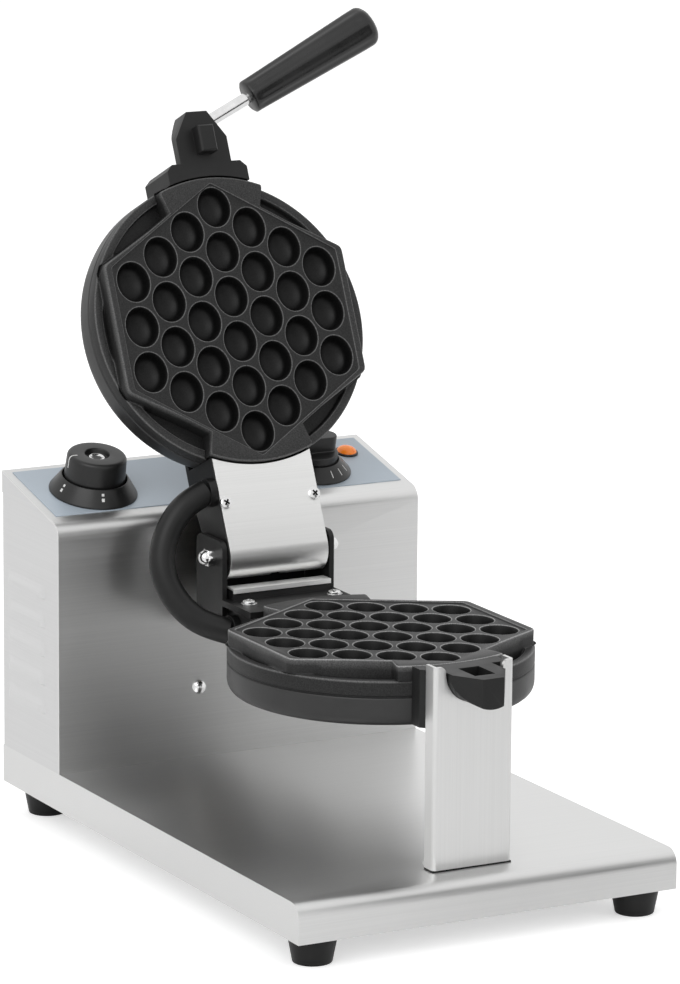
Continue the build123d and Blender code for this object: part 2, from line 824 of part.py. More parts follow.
def hinge_cover():
    """Stainless sheet under the arm, hollowed at the pan's edge and curled round the hinge."""
    outer = hinge_cover_radius
    inner = outer - hinge_sheet
    half = hinge_cover_half_width
    flat = block(-half, half, 0, hinge_reach, hinge_rise - outer, hinge_rise - inner)
    flat -= post(0, 0, 0, hinge_rise, pan_radius + 2 * seat_gap)
    curl = rod_along_x(-half, half, hinge_reach, hinge_rise, outer)
    curl -= rod_along_x(-half, half, hinge_reach, hinge_rise, inner)
    angle = math.radians(hinge_cover_curl)
    wedge = [(hinge_reach, hinge_rise), (hinge_reach, hinge_rise - 2 * outer),
             (hinge_reach + 2 * outer, hinge_rise - 2 * outer),
             (hinge_reach + 2 * outer * math.sin(angle), hinge_rise - 2 * outer * math.cos(angle))]
    cover = flat + (curl & side_profile(wedge, -half, half))
    notch = Pos(0, hinge_reach + outer * math.sin(angle), hinge_rise - outer * math.cos(angle))
    cover -= notch * Rot(0, 0, 45) * Box(notch_size, notch_size, notch_size)
    for side in (-1, 1):
        cover -= post(side * cover_screw_side, cover_screw_reach, hinge_rise - outer,
                      hinge_rise - inner, screw_radius + screw_hole_gap)
    return opened(Pos(0, y_pan, z_mate) * cover)


def hinge_cover_screws():
    """Two pan-head screws that hold the stainless sheet to the arm."""
    z = hinge_rise - hinge_cover_radius
    screws = [pan_head_screw(side * cover_screw_side, cover_screw_reach, z, down=-1)
              for side in (-1, 1)]
    return [opened(Pos(0, y_pan, z_mate) * screw) for screw in screws]


def hinge_bracket():
    """U-shaped bracket: two cheeks on a floor plate, with a back wall for the shaft."""
    half = arm_half_width + cheek_gap
    outer = half + cheek_thickness
    y0 = hinge_reach - cheek_front
    y1 = hinge_reach + cheek_back
    floor_top = -bracket_top_drop
    low = floor_top - bracket_depth
    floor = block(-outer, outer, bracket_front_reach, y1, floor_top - bracket_plate, floor_top)
    wall = block(-outer, outer, y1 - bracket_plate, y1, low, floor_top)
    rib = block(-hinge_cover_half_width, hinge_cover_half_width, hinge_reach - rib_front,
                hinge_reach - rib_front + rib_length, floor_top, floor_top + rib_height)
    boss = rod_along_y(0, y1 - bracket_plate, y1 + bracket_boss_reach, 0,
                       shaft_radius + bracket_boss_wall)
    boss -= block(-outer, outer, y0, y1 - bracket_plate, floor_top, journal_radius * 2)
    bracket = floor + wall + rib + boss
    for side in (-1, 1):
        cheek = block(0, cheek_thickness, y0, y1, low, hinge_rise + cheek_top)
        corners = cheek.edges().filter_by(Axis.X).group_by(Axis.Z)[-1]
        cheek = fillet(corners, cheek_round)
        x = half if side > 0 else -outer
        bracket += Pos(x, 0, 0) * cheek
        bracket -= post(side * bracket_screw_side, bracket_screw_reach,
                        floor_top - bracket_plate, floor_top, screw_radius + screw_hole_gap)
    bracket -= rod_along_x(-outer, outer, hinge_reach, hinge_rise, pin_radius + pin_clearance)
    bracket -= rod_along_y(0, y1 - bracket_plate, y1 + bracket_boss_reach, 0,
                           shaft_bore_radius)
    return Pos(0, y_pan, z_mate) * bracket


def hinge_strip():
    """Narrow stainless angle on the bracket's rib, below the curled cover."""
    y0 = hinge_reach - rib_front
    top = -bracket_top_drop + rib_height
    half = hinge_cover_half_width
    front = block(-half, half, y0 - hinge_sheet, y0, top + hinge_sheet - strip_lip,
                  top + hinge_sheet)
    leaf = block(-half, half, y0, y0 + rib_length, top, top + hinge_sheet)
    return Pos(0, y_pan, z_mate) * (front + leaf)


def bracket_screws():
    """Two screws with washers that hold the bracket to the lower cover's boss."""
    screws = []
    for side in (-1, 1):
        x = side * bracket_screw_side
        y = bracket_screw_reach
        z = -bracket_top_drop
        washer = post(x, y, z, z + washer_height, washer_radius)
        screw = pan_head_screw(x, y, z + washer_height)
        screws.append(Pos(0, y_pan, z_mate) * (washer + screw))
    return screws


def hinge_pin():
    """Bolt through both cheeks and the arm's barrel."""
    end = arm_half_width + cheek_gap + cheek_thickness
    return rod_along_x(-end - nut_height, end + nut_height, y_hinge, z_hinge, pin_radius)


def dome_nut(nut_bore):
    """Hexagon nut with a domed end, seated on z = 0."""
    nut = extrude(RegularPolygon(nut_across / 2, 6, major_radius=False), nut_height)
    radius = nut_across / 2 - nut_corner
    dome = turned([(0, nut_height), (radius, nut_height), (radius * 0.8, nut_height + nut_dome * 0.6),
                   (radius * 0.35, nut_height + nut_dome), (0, nut_height + nut_dome)])
    return nut + dome - post(0, 0, 0, nut_height, nut_bore)


def hinge_nuts():
    """Domed nuts on the two ends of the hinge pin."""
    end = arm_half_width + cheek_gap + cheek_thickness
    right = Pos(end, y_hinge, z_hinge) * Rot(0, 90, 0) * dome_nut(pin_radius + pin_clearance)
    return [right, mirror(right, about=Plane.YZ)]


def rotor_shaft():
    """Hollow shaft from the hinge bracket through the housing's front wall."""
    y0 = y_hinge + cheek_back + bracket_boss_reach
    y1 = y_housing + shaft_inside
    tube = rod_along_y(0, y0, y1, z_mate, shaft_radius)
    return tube - rod_along_y(0, y0, y1, z_mate, shaft_bore_radius)


def shaft_bush():
    """Flanged bush in the front wall that the shaft turns in."""
    bore = shaft_radius + shaft_clearance
    y1 = y_housing + sheet + bearing_plate
    bush = rod_along_y(0, y_housing - bush_flange, y1, z_mate, bush_radius)
    bush += rod_along_y(0, y_housing - bush_flange, y_housing, z_mate, bush_flange_radius)
    return bush - rod_along_y(0, y_housing - bush_flange, y1, z_mate, bore)


def bearing_bracket():
    """Plate with a long bearing, bolted behind the front wall."""
    y0 = y_housing + sheet
    low = z_mate - bearing_bolt_drop - bearing_past_bolt
    body = block(-bearing_half_width, bearing_half_width, y0, y0 + bearing_plate, low,
                 z_mate + bearing_radius + bearing_past_ring)
    body += rod_along_y(0, y0, y0 + bearing_length, z_mate, bearing_radius)
    body -= rod_along_y(0, y0, y0 + bearing_plate, z_mate, bush_radius + shaft_clearance)
    body -= rod_along_y(0, y0, y0 + bearing_length, z_mate, shaft_radius + shaft_clearance)
    for side in (-1, 1):
        body -= rod_along_y(side * bearing_bolt_side, y0, y0 + bearing_plate,
                            z_mate - bearing_bolt_drop, pin_radius + screw_hole_gap)
    return body


def bearing_bolts():
    """Domed bolts through the front wall into the bearing's plate."""
    bolts = []
    for side in (-1, 1):
        head = Rot(90, 0, 0) * dome_nut(pin_radius)
        head = head + rod_along_y(0, -nut_height, sheet + bearing_plate + bearing_bolt_past_plate,
                                  0, pin_radius)
        bolts.append(Pos(side * bearing_bolt_side, y_housing, z_mate - bearing_bolt_drop) * head)
    return bolts


def shaft_collar():
    """Collar that keeps the shaft in its bearing."""
    y0 = y_housing + sheet + bearing_length + collar_gap
    collar = rod_along_y(0, y0, y0 + collar_length, z_mate, collar_radius)
    return collar - rod_along_y(0, y0, y0 + collar_length, z_mate, shaft_radius)


def cradle_screw_y():
    """Y of the screws that hold the cradle's foot to the tray."""
    return y_pan - cradle_front_reach + cradle_sheet + cradle_foot / 2


def cradle_column():
    """Folded stainless channel with a U-shaped notch for the lugs and a foot inside."""
    y0 = y_pan - cradle_front_reach
    y1 = y0 + cradle_depth
    half = cradle_width / 2
    z0 = z_tray + cradle_pad
    z1 = z_mate + cradle_above_mate
    channel = block(-half, half, y0, y1, z0, z1)
    corners = channel.edges().filter_by(Axis.Z).group_by(Axis.Y)[0]
    channel = fillet(corners, cradle_fold)
    channel -= block(-half + cradle_sheet, half - cradle_sheet, y0 + cradle_sheet, y1, z0, z1)
    foot = block(-half + cradle_sheet, half - cradle_sheet, y0 + cradle_sheet,
                 y0 + cradle_foot, z0, z0 + cradle_sheet)
    for side in (-1, 1):
        foot -= post(side * cradle_screw_side, cradle_screw_y(), z0, z0 + cradle_sheet,
                     screw_radius + screw_hole_gap)
    notch_radius = journal_radius + cradle_gap
    notch = rod_along_y(0, y0, y0 + cradle_sheet, z_mate, notch_radius)
    notch += block(-notch_radius, notch_radius, y0, y0 + cradle_sheet, z_mate, z1)
    column = channel - notch
    inner = [edge for edge in column.edges().filter_by(Axis.Y).group_by(Axis.Z)[-1]
             if abs(abs(edge.center().X) - notch_radius) < 0.1]
    column = fillet(inner, ear_round)
    return column + foot


def column_pad():
    """Thin black pad between the cradle and the tray."""
    y0 = y_pan - cradle_front_reach
    half = cradle_width / 2
    pad = block(-half, half, y0, y0 + cradle_depth, z_tray, z_tray + cradle_pad)
    for side in (-1, 1):
        pad -= post(side * cradle_screw_side, cradle_screw_y(), z_tray, z_tray + cradle_pad,
                    screw_radius + screw_hole_gap)
    return pad


def column_screws():
    """Two screws from the cradle's foot down through the tray."""
    z = z_tray + cradle_pad + cradle_sheet
    return [pan_head_screw(side * cradle_screw_side, cradle_screw_y(), z) for side in (-1, 1)]


def sleeve_route():
    """Points of the wire sleeve from the hinge arm round the hinge to the lower cover."""
    start_x = -arm_half_width - gland_length
    points = [(start_x, 88.6, 213.0), (-58.0, 88.6, 213.0), (-70.0, 86.5, 197.0),
              (-75.5, 84.0, 180.0), (-75.0, 77.5, 162.5), (-70.0, 67.0, 147.5),
              (-58.0, 56.2, 134.5), (start_x, 56.2, 134.5)]
    return [Vector(*point) for point in points]


def sleeve_path():
    """The route as straight runs joined by arcs as large as the runs allow."""
    points = sleeve_route()
    radii = []
    for before, here, after in zip(points, points[1:], points[2:]):
        run_in = here - before
        run_out = after - here
        turn = math.radians(run_in.get_angle(run_out))
        radii.append(0.45 * min(run_in.length, run_out.length) / math.tan(turn / 2))
    print("sleeve radii", [round(radius, 1) for radius in radii])
    return FilletPolyline(*points, radius=radii)


def wire_sleeve():
    """Smooth black sleeve that carries the lid heater's wires."""
    path = sleeve_path()
    start = Plane(origin=path @ 0, z_dir=path % 0)
    sleeve = sweep(start * Circle(sleeve_radius), path=path)
    section = math.pi * sleeve_radius ** 2
    print("sleeve length", round(path.length, 1), "volume ratio",
          round(sleeve.volume / (section * path.length), 4))
    return sleeve


def sleeve_gland(end):
    """Bush from a flat side face out to the sleeve's end, which it meets face to face."""
    return rod_along_x(end.X, end.X + gland_length, end.Y, end.Z, gland_radius)


def upper_gland():
    """Bush on the arm's left side."""
    return sleeve_gland(sleeve_route()[0])


def lower_gland():
    """Bush on the left side of the lower cover's boss."""
    return sleeve_gland(sleeve_route()[-1])


parts = {
    "base_tray": base_tray(),
    "foot_screws": foot_screws(),
    "housing_front_top": housing_wrap(),
    "side_panel_left": side_panel(-1),
    "side_panel_right": side_panel(1),
    "back_panel": back_panel(),
    "back_panel_screws": back_screws(),
    "cable_gland": cable_gland(),
    "terminal_block": terminal_block(),
    "control_overlay": control_overlay(),
    "thermostat_bezel": bezel(-thermostat_side, bezel_radius, bezel_top_radius, bezel_height,
                              knob_radius + knob_gap),
    "thermostat_knob": thermostat_knob(),
    "thermostat_knob_cap": knob_cap(),
    "thermostat_spindle": spindle(-thermostat_side, knob_height - knob_recess_depth
                                  - knob_socket_roof - spindle_end_gap),
    "thermostat_body": thermostat_body(),
    "timer_bezel": bezel(timer_side, timer_bezel_radius, timer_bezel_top_radius,
                         timer_bezel_height, timer_disc_radius + knob_gap),
    "timer_knob": timer_knob(),
    "timer_spindle": spindle(timer_side, timer_bar_height - timer_socket_roof - spindle_end_gap),
    "timer_body": timer_body(),
    "indicator_lamp": indicator_lamp(),
    "bearing_bracket": bearing_bracket(),
    "bearing_bolts": bearing_bolts(),
    "shaft_bush": shaft_bush(),
    "cradle_column": cradle_column(),
    "column_pad": column_pad(),
    "column_screws": column_screws(),
    "rotor_shaft": rotor_shaft(),
    "shaft_collar": shaft_collar(),
    "hinge_bracket": hinge_bracket(),
    "hinge_strip": hinge_strip(),
    "bracket_screws": bracket_screws(),
    "hinge_pin": hinge_pin(),
    "hinge_nuts": hinge_nuts(),
    "lower_plate": below(cell_plate()),
    "lower_heater": below(heater_ring()),
    "lower_cover": lower_cover(),
    "lower_lug": lower_lug(),
    "lower_gland": lower_gland(),
    "upper_plate": opened(above(cell_plate())),
    "upper_heater": opened(above(heater_ring())),
    "upper_cover": opened(above(cover_shell())),
    "upper_lug": upper_lug(),
    "hinge_arm": hinge_arm(),
    "arm_screws": arm_screws(),
    "hinge_cover": hinge_cover(),
    "hinge_cover_screws": hinge_cover_screws(),
    "handle_rod": handle_rod(),
    "handle_grip": handle_grip(),
    "upper_gland": upper_gland(),
    "wire_sleeve": wire_sleeve(),
}
feet = ["foot_front_left", "foot_front_right", "foot_back_left", "foot_back_right"]
for name, (x, y) in zip(feet, foot_places()):
    parts[name] = rubber_foot(x, y)

os.makedirs("parts", exist_ok=True)
for name, shape in parts.items():
    pieces = shape if isinstance(shape, list) else [shape]
    solids = [solid for piece in pieces for solid in piece.solids()]
    export_step(Compound(children=solids), f"parts/{name}.step")
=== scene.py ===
import json
import math

import bmesh
import bpy
import numpy as np
from mathutils import Matrix, Vector
from mathutils.geometry import delaunay_2d_cdt

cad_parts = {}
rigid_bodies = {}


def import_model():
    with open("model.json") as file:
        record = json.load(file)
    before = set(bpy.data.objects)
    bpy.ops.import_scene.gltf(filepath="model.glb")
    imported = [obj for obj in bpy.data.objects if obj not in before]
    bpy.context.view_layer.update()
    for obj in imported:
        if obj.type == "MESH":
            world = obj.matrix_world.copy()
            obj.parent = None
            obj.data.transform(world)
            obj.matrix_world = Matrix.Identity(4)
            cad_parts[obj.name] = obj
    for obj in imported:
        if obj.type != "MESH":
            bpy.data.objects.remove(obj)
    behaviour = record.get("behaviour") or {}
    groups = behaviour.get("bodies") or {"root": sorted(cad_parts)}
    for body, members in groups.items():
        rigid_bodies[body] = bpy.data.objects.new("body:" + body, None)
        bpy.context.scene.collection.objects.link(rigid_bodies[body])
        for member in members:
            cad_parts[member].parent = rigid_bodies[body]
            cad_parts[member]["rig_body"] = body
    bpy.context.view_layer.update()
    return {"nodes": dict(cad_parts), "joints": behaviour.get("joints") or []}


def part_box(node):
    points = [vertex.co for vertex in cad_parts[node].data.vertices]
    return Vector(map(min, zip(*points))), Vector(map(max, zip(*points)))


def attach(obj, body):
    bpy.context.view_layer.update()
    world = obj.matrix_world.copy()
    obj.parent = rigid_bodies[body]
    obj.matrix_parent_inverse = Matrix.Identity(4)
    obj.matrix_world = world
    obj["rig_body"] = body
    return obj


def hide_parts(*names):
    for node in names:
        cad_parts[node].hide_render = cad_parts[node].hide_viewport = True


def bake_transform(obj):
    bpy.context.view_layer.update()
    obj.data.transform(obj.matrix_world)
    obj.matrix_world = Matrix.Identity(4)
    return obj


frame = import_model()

# Camera: to the left of the machine and a little above it, far off with a long lens.
# The place and angles are those that the cell fields and the base's corners agree on.
# The focal length is in pixels of a picture 984 pixels high.
eye = Vector((-1.4637, -2.71145, 0.89375))
camera_turn = math.radians(28.465)
camera_tilt = math.radians(12.207)
camera_roll = math.radians(0.431)
focal_pixels = 5278.33
picture_height = 984
sensor_side = 36.0

forward = Vector((math.sin(camera_turn) * math.cos(camera_tilt),
                  math.cos(camera_turn) * math.cos(camera_tilt),
                  -math.sin(camera_tilt)))
level = Vector((math.cos(camera_turn), -math.sin(camera_turn), 0))
upright = level.cross(forward)
camera_x = level * math.cos(camera_roll) + upright * math.sin(camera_roll)
camera_y = upright * math.cos(camera_roll) - level * math.sin(camera_roll)
camera = bpy.data.objects.new("camera", bpy.data.cameras.new("camera"))
camera.data.sensor_width = sensor_side
camera.data.lens = focal_pixels * sensor_side / picture_height
camera.data.clip_end = 50
axes = Matrix((camera_x, camera_y, -forward)).transposed().to_4x4()
camera.matrix_world = Matrix.Translation(eye) @ axes
bpy.context.scene.collection.objects.link(camera)
bpy.context.scene.camera = camera
bpy.context.scene.view_settings.view_transform = "Standard"

# Studio: a pale table top, a white room that the camera and the bright metal see, and
# large soft lamps. A dark flag stands in front, where a photographer sets one, so that
# the front wall and the base have something to reflect.
room_light = 0.55
table_reach = 6
table_colour = (0.9, 0.9, 0.9)
table_rough = 0.6
table_glow = 0.5
mirrored_share = 0.25
flag_colour = (0.03, 0.03, 0.03)
flag_place = (0.48, -0.88, 0.42)
flag_half_width = 0.18
flag_half_height = 0.38
machine_middle = (0, 0, 0.22)


def math_node(tree, operation, *values):
    """A Math node's output, whose inputs are linked to sockets or set to numbers."""
    node = tree.nodes.new("ShaderNodeMath")
    node.operation = operation
    for entry, value in zip(node.inputs, values):
        if isinstance(value, (int, float)):
            entry.default_value = value
        else:
            tree.links.new(value, entry)
    return node.outputs[0]


def new_finish(name, colour, metal, rough):
    """A material and its shader, with a colour, a metal share and a roughness."""
    finish = bpy.data.materials.new(name)
    finish.use_nodes = True
    shader = finish.node_tree.nodes["Principled BSDF"]
    shader.inputs["Base Color"].default_value = (*colour, 1)
    shader.inputs["Metallic"].default_value = metal
    shader.inputs["Roughness"].default_value = rough
    return finish, shader


def flat_sheet(name, centre, half_u, half_v, finish):
    """A rectangle: centre + u * half_u + v * half_v, for u and v of -1 and 1."""
    u = np.array([-1, 1, 1, -1])
    v = np.array([-1, -1, 1, 1])
    points = np.array(centre) + u[:, None] * np.array(half_u) + v[:, None] * np.array(half_v)
    mesh = bpy.data.meshes.new(name)
    mesh.from_pydata(points.tolist(), [], [(0, 1, 2, 3)])
    mesh.materials.append(finish)
    sheet = bpy.data.objects.new(name, mesh)
    bpy.context.scene.collection.objects.link(sheet)
    return sheet


def soft_lamp(name, place, side, power, mirrored):
    """A square lamp turned towards the machine, that bright metal mirrors or not."""
    lamp = bpy.data.objects.new(name, bpy.data.lights.new(name, "AREA"))
    lamp.data.size = side
    lamp.data.energy = power
    lamp.location = place
    to_machine = Vector(machine_middle) - Vector(place)
    lamp.rotation_euler = to_machine.to_track_quat("-Z", "Y").to_euler()
    lamp.visible_glossy = mirrored
    bpy.context.scene.collection.objects.link(lamp)


world = bpy.data.worlds.new("room")
bpy.context.scene.world = world
world.use_nodes = True
tree = world.node_tree
seen = tree.nodes["Background"]
lit = tree.nodes.new("ShaderNodeBackground")
for background, strength in ((seen, 1.0), (lit, room_light)):
    background.inputs["Color"].default_value = (1, 1, 1, 1)
    background.inputs["Strength"].default_value = strength
ray = tree.nodes.new("ShaderNodeLightPath").outputs
sight = math_node(tree, "MAXIMUM", ray["Is Camera Ray"], ray["Is Glossy Ray"])
sight = math_node(tree, "MAXIMUM", sight, ray["Is Transmission Ray"])
choose = tree.nodes.new("ShaderNodeMixShader")
tree.links.new(sight, choose.inputs["Fac"])
tree.links.new(lit.outputs[0], choose.inputs[1])
tree.links.new(seen.outputs[0], choose.inputs[2])
tree.links.new(choose.outputs[0], tree.nodes["World Output"].inputs["Surface"])

table_finish, table_shader = new_finish("pale_table", table_colour, 0, table_rough)
flat_sheet("table_top", (0, 0, 0), (table_reach, 0, 0), (0, table_reach, 0), table_finish)
tree = table_finish.node_tree
ray = tree.nodes.new("ShaderNodeLightPath").outputs
mirrored = math_node(tree, "MULTIPLY", ray["Is Glossy Ray"], mirrored_share)
sight = math_node(tree, "MAXIMUM", ray["Is Camera Ray"], mirrored)
glow = tree.nodes.new("ShaderNodeEmission")
tree.links.new(math_node(tree, "MULTIPLY", sight, table_glow), glow.inputs["Strength"])
both = tree.nodes.new("ShaderNodeAddShader")
tree.links.new(table_shader.outputs[0], both.inputs[0])
tree.links.new(glow.outputs[0], both.inputs[1])
tree.links.new(both.outputs[0], tree.nodes["Material Output"].inputs["Surface"])

flag_finish, _ = new_finish("black_flag", flag_colour, 0, 0.5)
flag = flat_sheet("flag_front", flag_place, (flag_half_width, 0, 0),
                  (0, 0, flag_half_height), flag_finish)
flag.visible_camera = False
flag.visible_diffuse = False
flag.visible_shadow = False

soft_lamp("key_lamp", (-1.6, -1.2, 1.9), 2.0, 22, True)
soft_lamp("fill_lamp", (1.5, -1.9, 1.3), 1.4, 9, False)
soft_lamp("back_lamp", (0.3, 1.8, 1.7), 1.0, 12, False)

# Wire sleeve: a smooth black sleeve from the hinge arm round the hinge to the pan's boss.
# It is moulded rubber over the lid heater's wires, held in a bush at each end.
# Its bend follows the photograph, a few millimetres inside the CAD model's.
sleeve_radius = 0.008
sleeve_points = [(-0.0390, 0.0886, 0.2130), (-0.0510, 0.0883, 0.2090),
                 (-0.0640, 0.0868, 0.1960), (-0.0715, 0.0840, 0.1790),
                 (-0.0715, 0.0785, 0.1630), (-0.0640, 0.0710, 0.1475),
                 (-0.0520, 0.0630, 0.1370), (-0.0390, 0.0562, 0.1335)]
sleeve_sides = 32
noise_low = 0.3
noise_high = 0.7
mottle_scale = 45
grain_strength = 0.35
merge_distance = 1e-6
smooth_angle = math.radians(38)


def smooth_line(name, points):
    """Points along the NURBS line of order 3 whose control points are given."""
    curve = bpy.data.curves.new(name, "CURVE")
    curve.dimensions = "3D"
    curve.resolution_u = 24
    spline = curve.splines.new("NURBS")
    spline.points.add(len(points) - 1)
    weights = np.ones((len(points), 1))
    spline.points.foreach_set("co", np.hstack([np.array(points), weights]).ravel())
    spline.order_u = 3
    spline.use_endpoint_u = True
    holder = bpy.data.objects.new(name, curve)
    bpy.context.scene.collection.objects.link(holder)
    mesh = bpy.data.meshes.new_from_object(holder)
    line = np.zeros(len(mesh.vertices) * 3)
    mesh.vertices.foreach_get("co", line)
    bpy.data.objects.remove(holder)
    return line.reshape(-1, 3)


def full_turn(sides):
    """Equal angles once round, without the last, which is the first again."""
    return np.linspace(0, 2 * math.pi, sides, endpoint=False)


def unit_rows(vectors):
    """Each row divided by its length."""
    return vectors / np.linalg.norm(vectors, axis=1)[:, None]


def grid_faces(rows, columns, wrap=True):
    """Quads between neighbouring points of a grid, going round its columns if wrap."""
    i, j = np.meshgrid(np.arange(rows - 1), np.arange(columns if wrap else columns - 1),
                       indexing="ij")
    k = (j + 1) % columns
    quads = [i * columns + j, i * columns + k, (i + 1) * columns + k, (i + 1) * columns + j]
    return np.stack(quads, axis=-1).reshape(-1, 4)


def make_piece(name, points, faces, body, finish, stands_for=(), painted_shading=None):
    """A mesh piece from points and faces, riding on a body, with its normals outwards.

    A painted shading value is given for each point, kept as an attribute that its finish
    can read and turn into painted highlight and painted shade.
    """
    mesh = bpy.data.meshes.new(name)
    mesh.from_pydata(np.asarray(points).tolist(), [], [list(map(int, f)) for f in faces])
    if painted_shading is not None:
        layer = mesh.attributes.new("painted_shading", "FLOAT", "POINT")
        layer.data.foreach_set("value", np.asarray(painted_shading, dtype=np.float32))
    work = bmesh.new()
    work.from_mesh(mesh)
    bmesh.ops.remove_doubles(work, verts=work.verts, dist=merge_distance)
    bmesh.ops.recalc_face_normals(work, faces=work.faces)
    work.to_mesh(mesh)
    work.free()
    mesh.shade_smooth()
    mesh.set_sharp_from_angle(angle=smooth_angle)
    mesh.materials.append(finish)
    piece = bpy.data.objects.new(name, mesh)
    bpy.context.scene.collection.objects.link(piece)
    if body:
        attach(piece, body)
    if stands_for:
        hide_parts(*stands_for)
    return piece


def add_noise(finish, scale, stretch=(1, 1, 1), detail=3.0):
    """Noise on Object coordinates, drawn out along an axis where its stretch is small."""
    nodes = finish.node_tree.nodes
    links = finish.node_tree.links
    place = nodes.new("ShaderNodeTexCoord")
    mapping = nodes.new("ShaderNodeMapping")
    mapping.inputs["Scale"].default_value = stretch
    noise = nodes.new("ShaderNodeTexNoise")
    noise.inputs["Scale"].default_value = scale
    noise.inputs["Detail"].default_value = detail
    links.new(place.outputs["Object"], mapping.inputs["Vector"])
    links.new(mapping.outputs["Vector"], noise.inputs["Vector"])
    return noise.outputs["Fac"]


def set_range(finish, value, low, high, target):
    """Drives a socket from low to high over the middle of a noise value's range."""
    spread = finish.node_tree.nodes.new("ShaderNodeMapRange")
    spread.inputs["From Min"].default_value = noise_low
    spread.inputs["From Max"].default_value = noise_high
    spread.inputs["To Min"].default_value = low
    spread.inputs["To Max"].default_value = high
    finish.node_tree.links.new(value, spread.inputs["Value"])
    finish.node_tree.links.new(spread.outputs["Result"], target)


def set_tones(finish, shader, value, dark, light):
    """Runs the base colour from dark to light over the middle of a value's range."""
    ramp = finish.node_tree.nodes.new("ShaderNodeValToRGB")
    ends = ramp.color_ramp.elements
    ends[0].position = noise_low
    ends[0].color = (*dark, 1)
    ends[1].position = noise_high
    ends[1].color = (*light, 1)
    finish.node_tree.links.new(value, ramp.inputs["Fac"])
    finish.node_tree.links.new(ramp.outputs["Color"], shader.inputs["Base Color"])


def mottle(finish, shader, scale, dark, light, rough_low, rough_high):
    """Soft clouds of one scale in both the base colour and the roughness."""
    clouds = add_noise(finish, scale)
    set_tones(finish, shader, clouds, dark, light)
    set_range(finish, clouds, rough_low, rough_high, shader.inputs["Roughness"])


def add_bump(finish, shader, height, strength, distance):
    """A bump on the shader's normal from a height."""
    bump = finish.node_tree.nodes.new("ShaderNodeBump")
    bump.inputs["Strength"].default_value = strength
    bump.inputs["Distance"].default_value = distance
    finish.node_tree.links.new(height, bump.inputs["Height"])
    finish.node_tree.links.new(bump.outputs["Normal"], shader.inputs["Normal"])


def moulded_finish(name, dark, light, rough_low, rough_high, grain, depth, sheen=0.5):
    """A moulding or casting: mottled between two colours, with a fine grain."""
    finish, shader = new_finish(name, dark, 0, rough_low)
    shader.inputs["Specular IOR Level"].default_value = sheen
    mottle(finish, shader, mottle_scale, dark, light, rough_low, rough_high)
    add_bump(finish, shader, add_noise(finish, grain), grain_strength, depth)
    return finish


rubber_finish = moulded_finish("satin_rubber", (0.006,) * 3, (0.012,) * 3, 0.34, 0.44,
                               900, 0.00008, 0.3)
sleeve_line = smooth_line("sleeve_line", sleeve_points)
along = unit_rows(np.gradient(sleeve_line, axis=0))
across = unit_rows(np.cross(along, (0.0, 1.0, 0.0)))
over = np.cross(along, across)
turn = full_turn(sleeve_sides)[None, :, None]
ring = np.cos(turn) * across[:, None, :] + np.sin(turn) * over[:, None, :]
tube = (sleeve_line[:, None, :] + sleeve_radius * ring).reshape(-1, 3)
tube_faces = grid_faces(len(sleeve_line), sleeve_sides).tolist()
last = (len(sleeve_line) - 1) * sleeve_sides
tube_faces += [list(range(sleeve_sides)), list(range(last, last + sleeve_sides))]
sleeve = make_piece("sleeve_tube", tube, tube_faces, None, rubber_finish,
                    ["wire_sleeve"])
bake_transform(sleeve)

# Base tray: one sheet of brushed stainless steel, bent down at the edges and turned in
# below. The steel is brushed from side to side, and its front edge has a wider bend.
# Its edges are slightly rounded, as cut and bent sheet is.
sheet_edge = 0.0004
sideways = (1, 0, 0)
brushing_nudge = (0.0003, 0.0005, 0.0007)
drawn_out = 0.006
streak_scale = 1300
streak_share = 0.65
streak_strength = 0.04
streak_depth = 0.000008
cloud_scale = 9
cloud_share = 0.35
flat_angle = math.radians(0.5)


def brushed_finish(name, colour, rough_low, rough_high, stretch, spread=0.0):
    """Brushed steel: fine streaks in its roughness and height along the brushing.

    With a spread, its reflections are drawn out across the brushing, whose direction
    comes from the piece's own UVs.
    """
    finish, shader = new_finish(name, colour, 1, rough_low)
    shader.inputs["Anisotropic"].default_value = spread
    tree = finish.node_tree
    if spread:
        tangent = tree.nodes.new("ShaderNodeTangent")
        tangent.direction_type = "UV_MAP"
        tangent.uv_map = "brushing"
        tree.links.new(tangent.outputs["Tangent"], shader.inputs["Tangent"])
    streaks = add_noise(finish, streak_scale, stretch, 4)
    fine = math_node(tree, "MULTIPLY", streaks, streak_share)
    clouds = add_noise(finish, cloud_scale)
    mixed = math_node(tree, "MULTIPLY_ADD", clouds, cloud_share, fine)
    set_range(finish, mixed, rough_low, rough_high, shader.inputs["Roughness"])
    set_tones(finish, shader, streaks, tuple(0.95 * c for c in colour), colour)
    add_bump(finish, shader, streaks, streak_strength, streak_depth)
    return finish


def lay_brushing(mesh, brushing):
    """Lays UVs on each face in metres: v along the brushing and u across it.

    The direction is nudged off the axes, so that no face lies square to it.
    """
    corner = np.empty(len(mesh.loops), dtype=np.int32)
    mesh.loops.foreach_get("vertex_index", corner)
    points = np.empty(len(mesh.vertices) * 3)
    mesh.vertices.foreach_get("co", points)
    points = points.reshape(-1, 3)[corner]
    normals = np.empty(len(mesh.polygons) * 3)
    mesh.polygons.foreach_get("normal", normals)
    sizes = np.empty(len(mesh.polygons), dtype=np.int32)
    mesh.polygons.foreach_get("loop_total", sizes)
    normals = np.repeat(normals.reshape(-1, 3), sizes, axis=0)
    across = unit_rows(np.cross(normals, np.array(brushing) + brushing_nudge))
    along = np.cross(across, normals)
    flat = np.stack([(points * across).sum(1), (points * along).sum(1)], axis=-1)
    layer = mesh.uv_layers.new(name="brushing")
    layer.data.foreach_set("uv", flat.ravel())


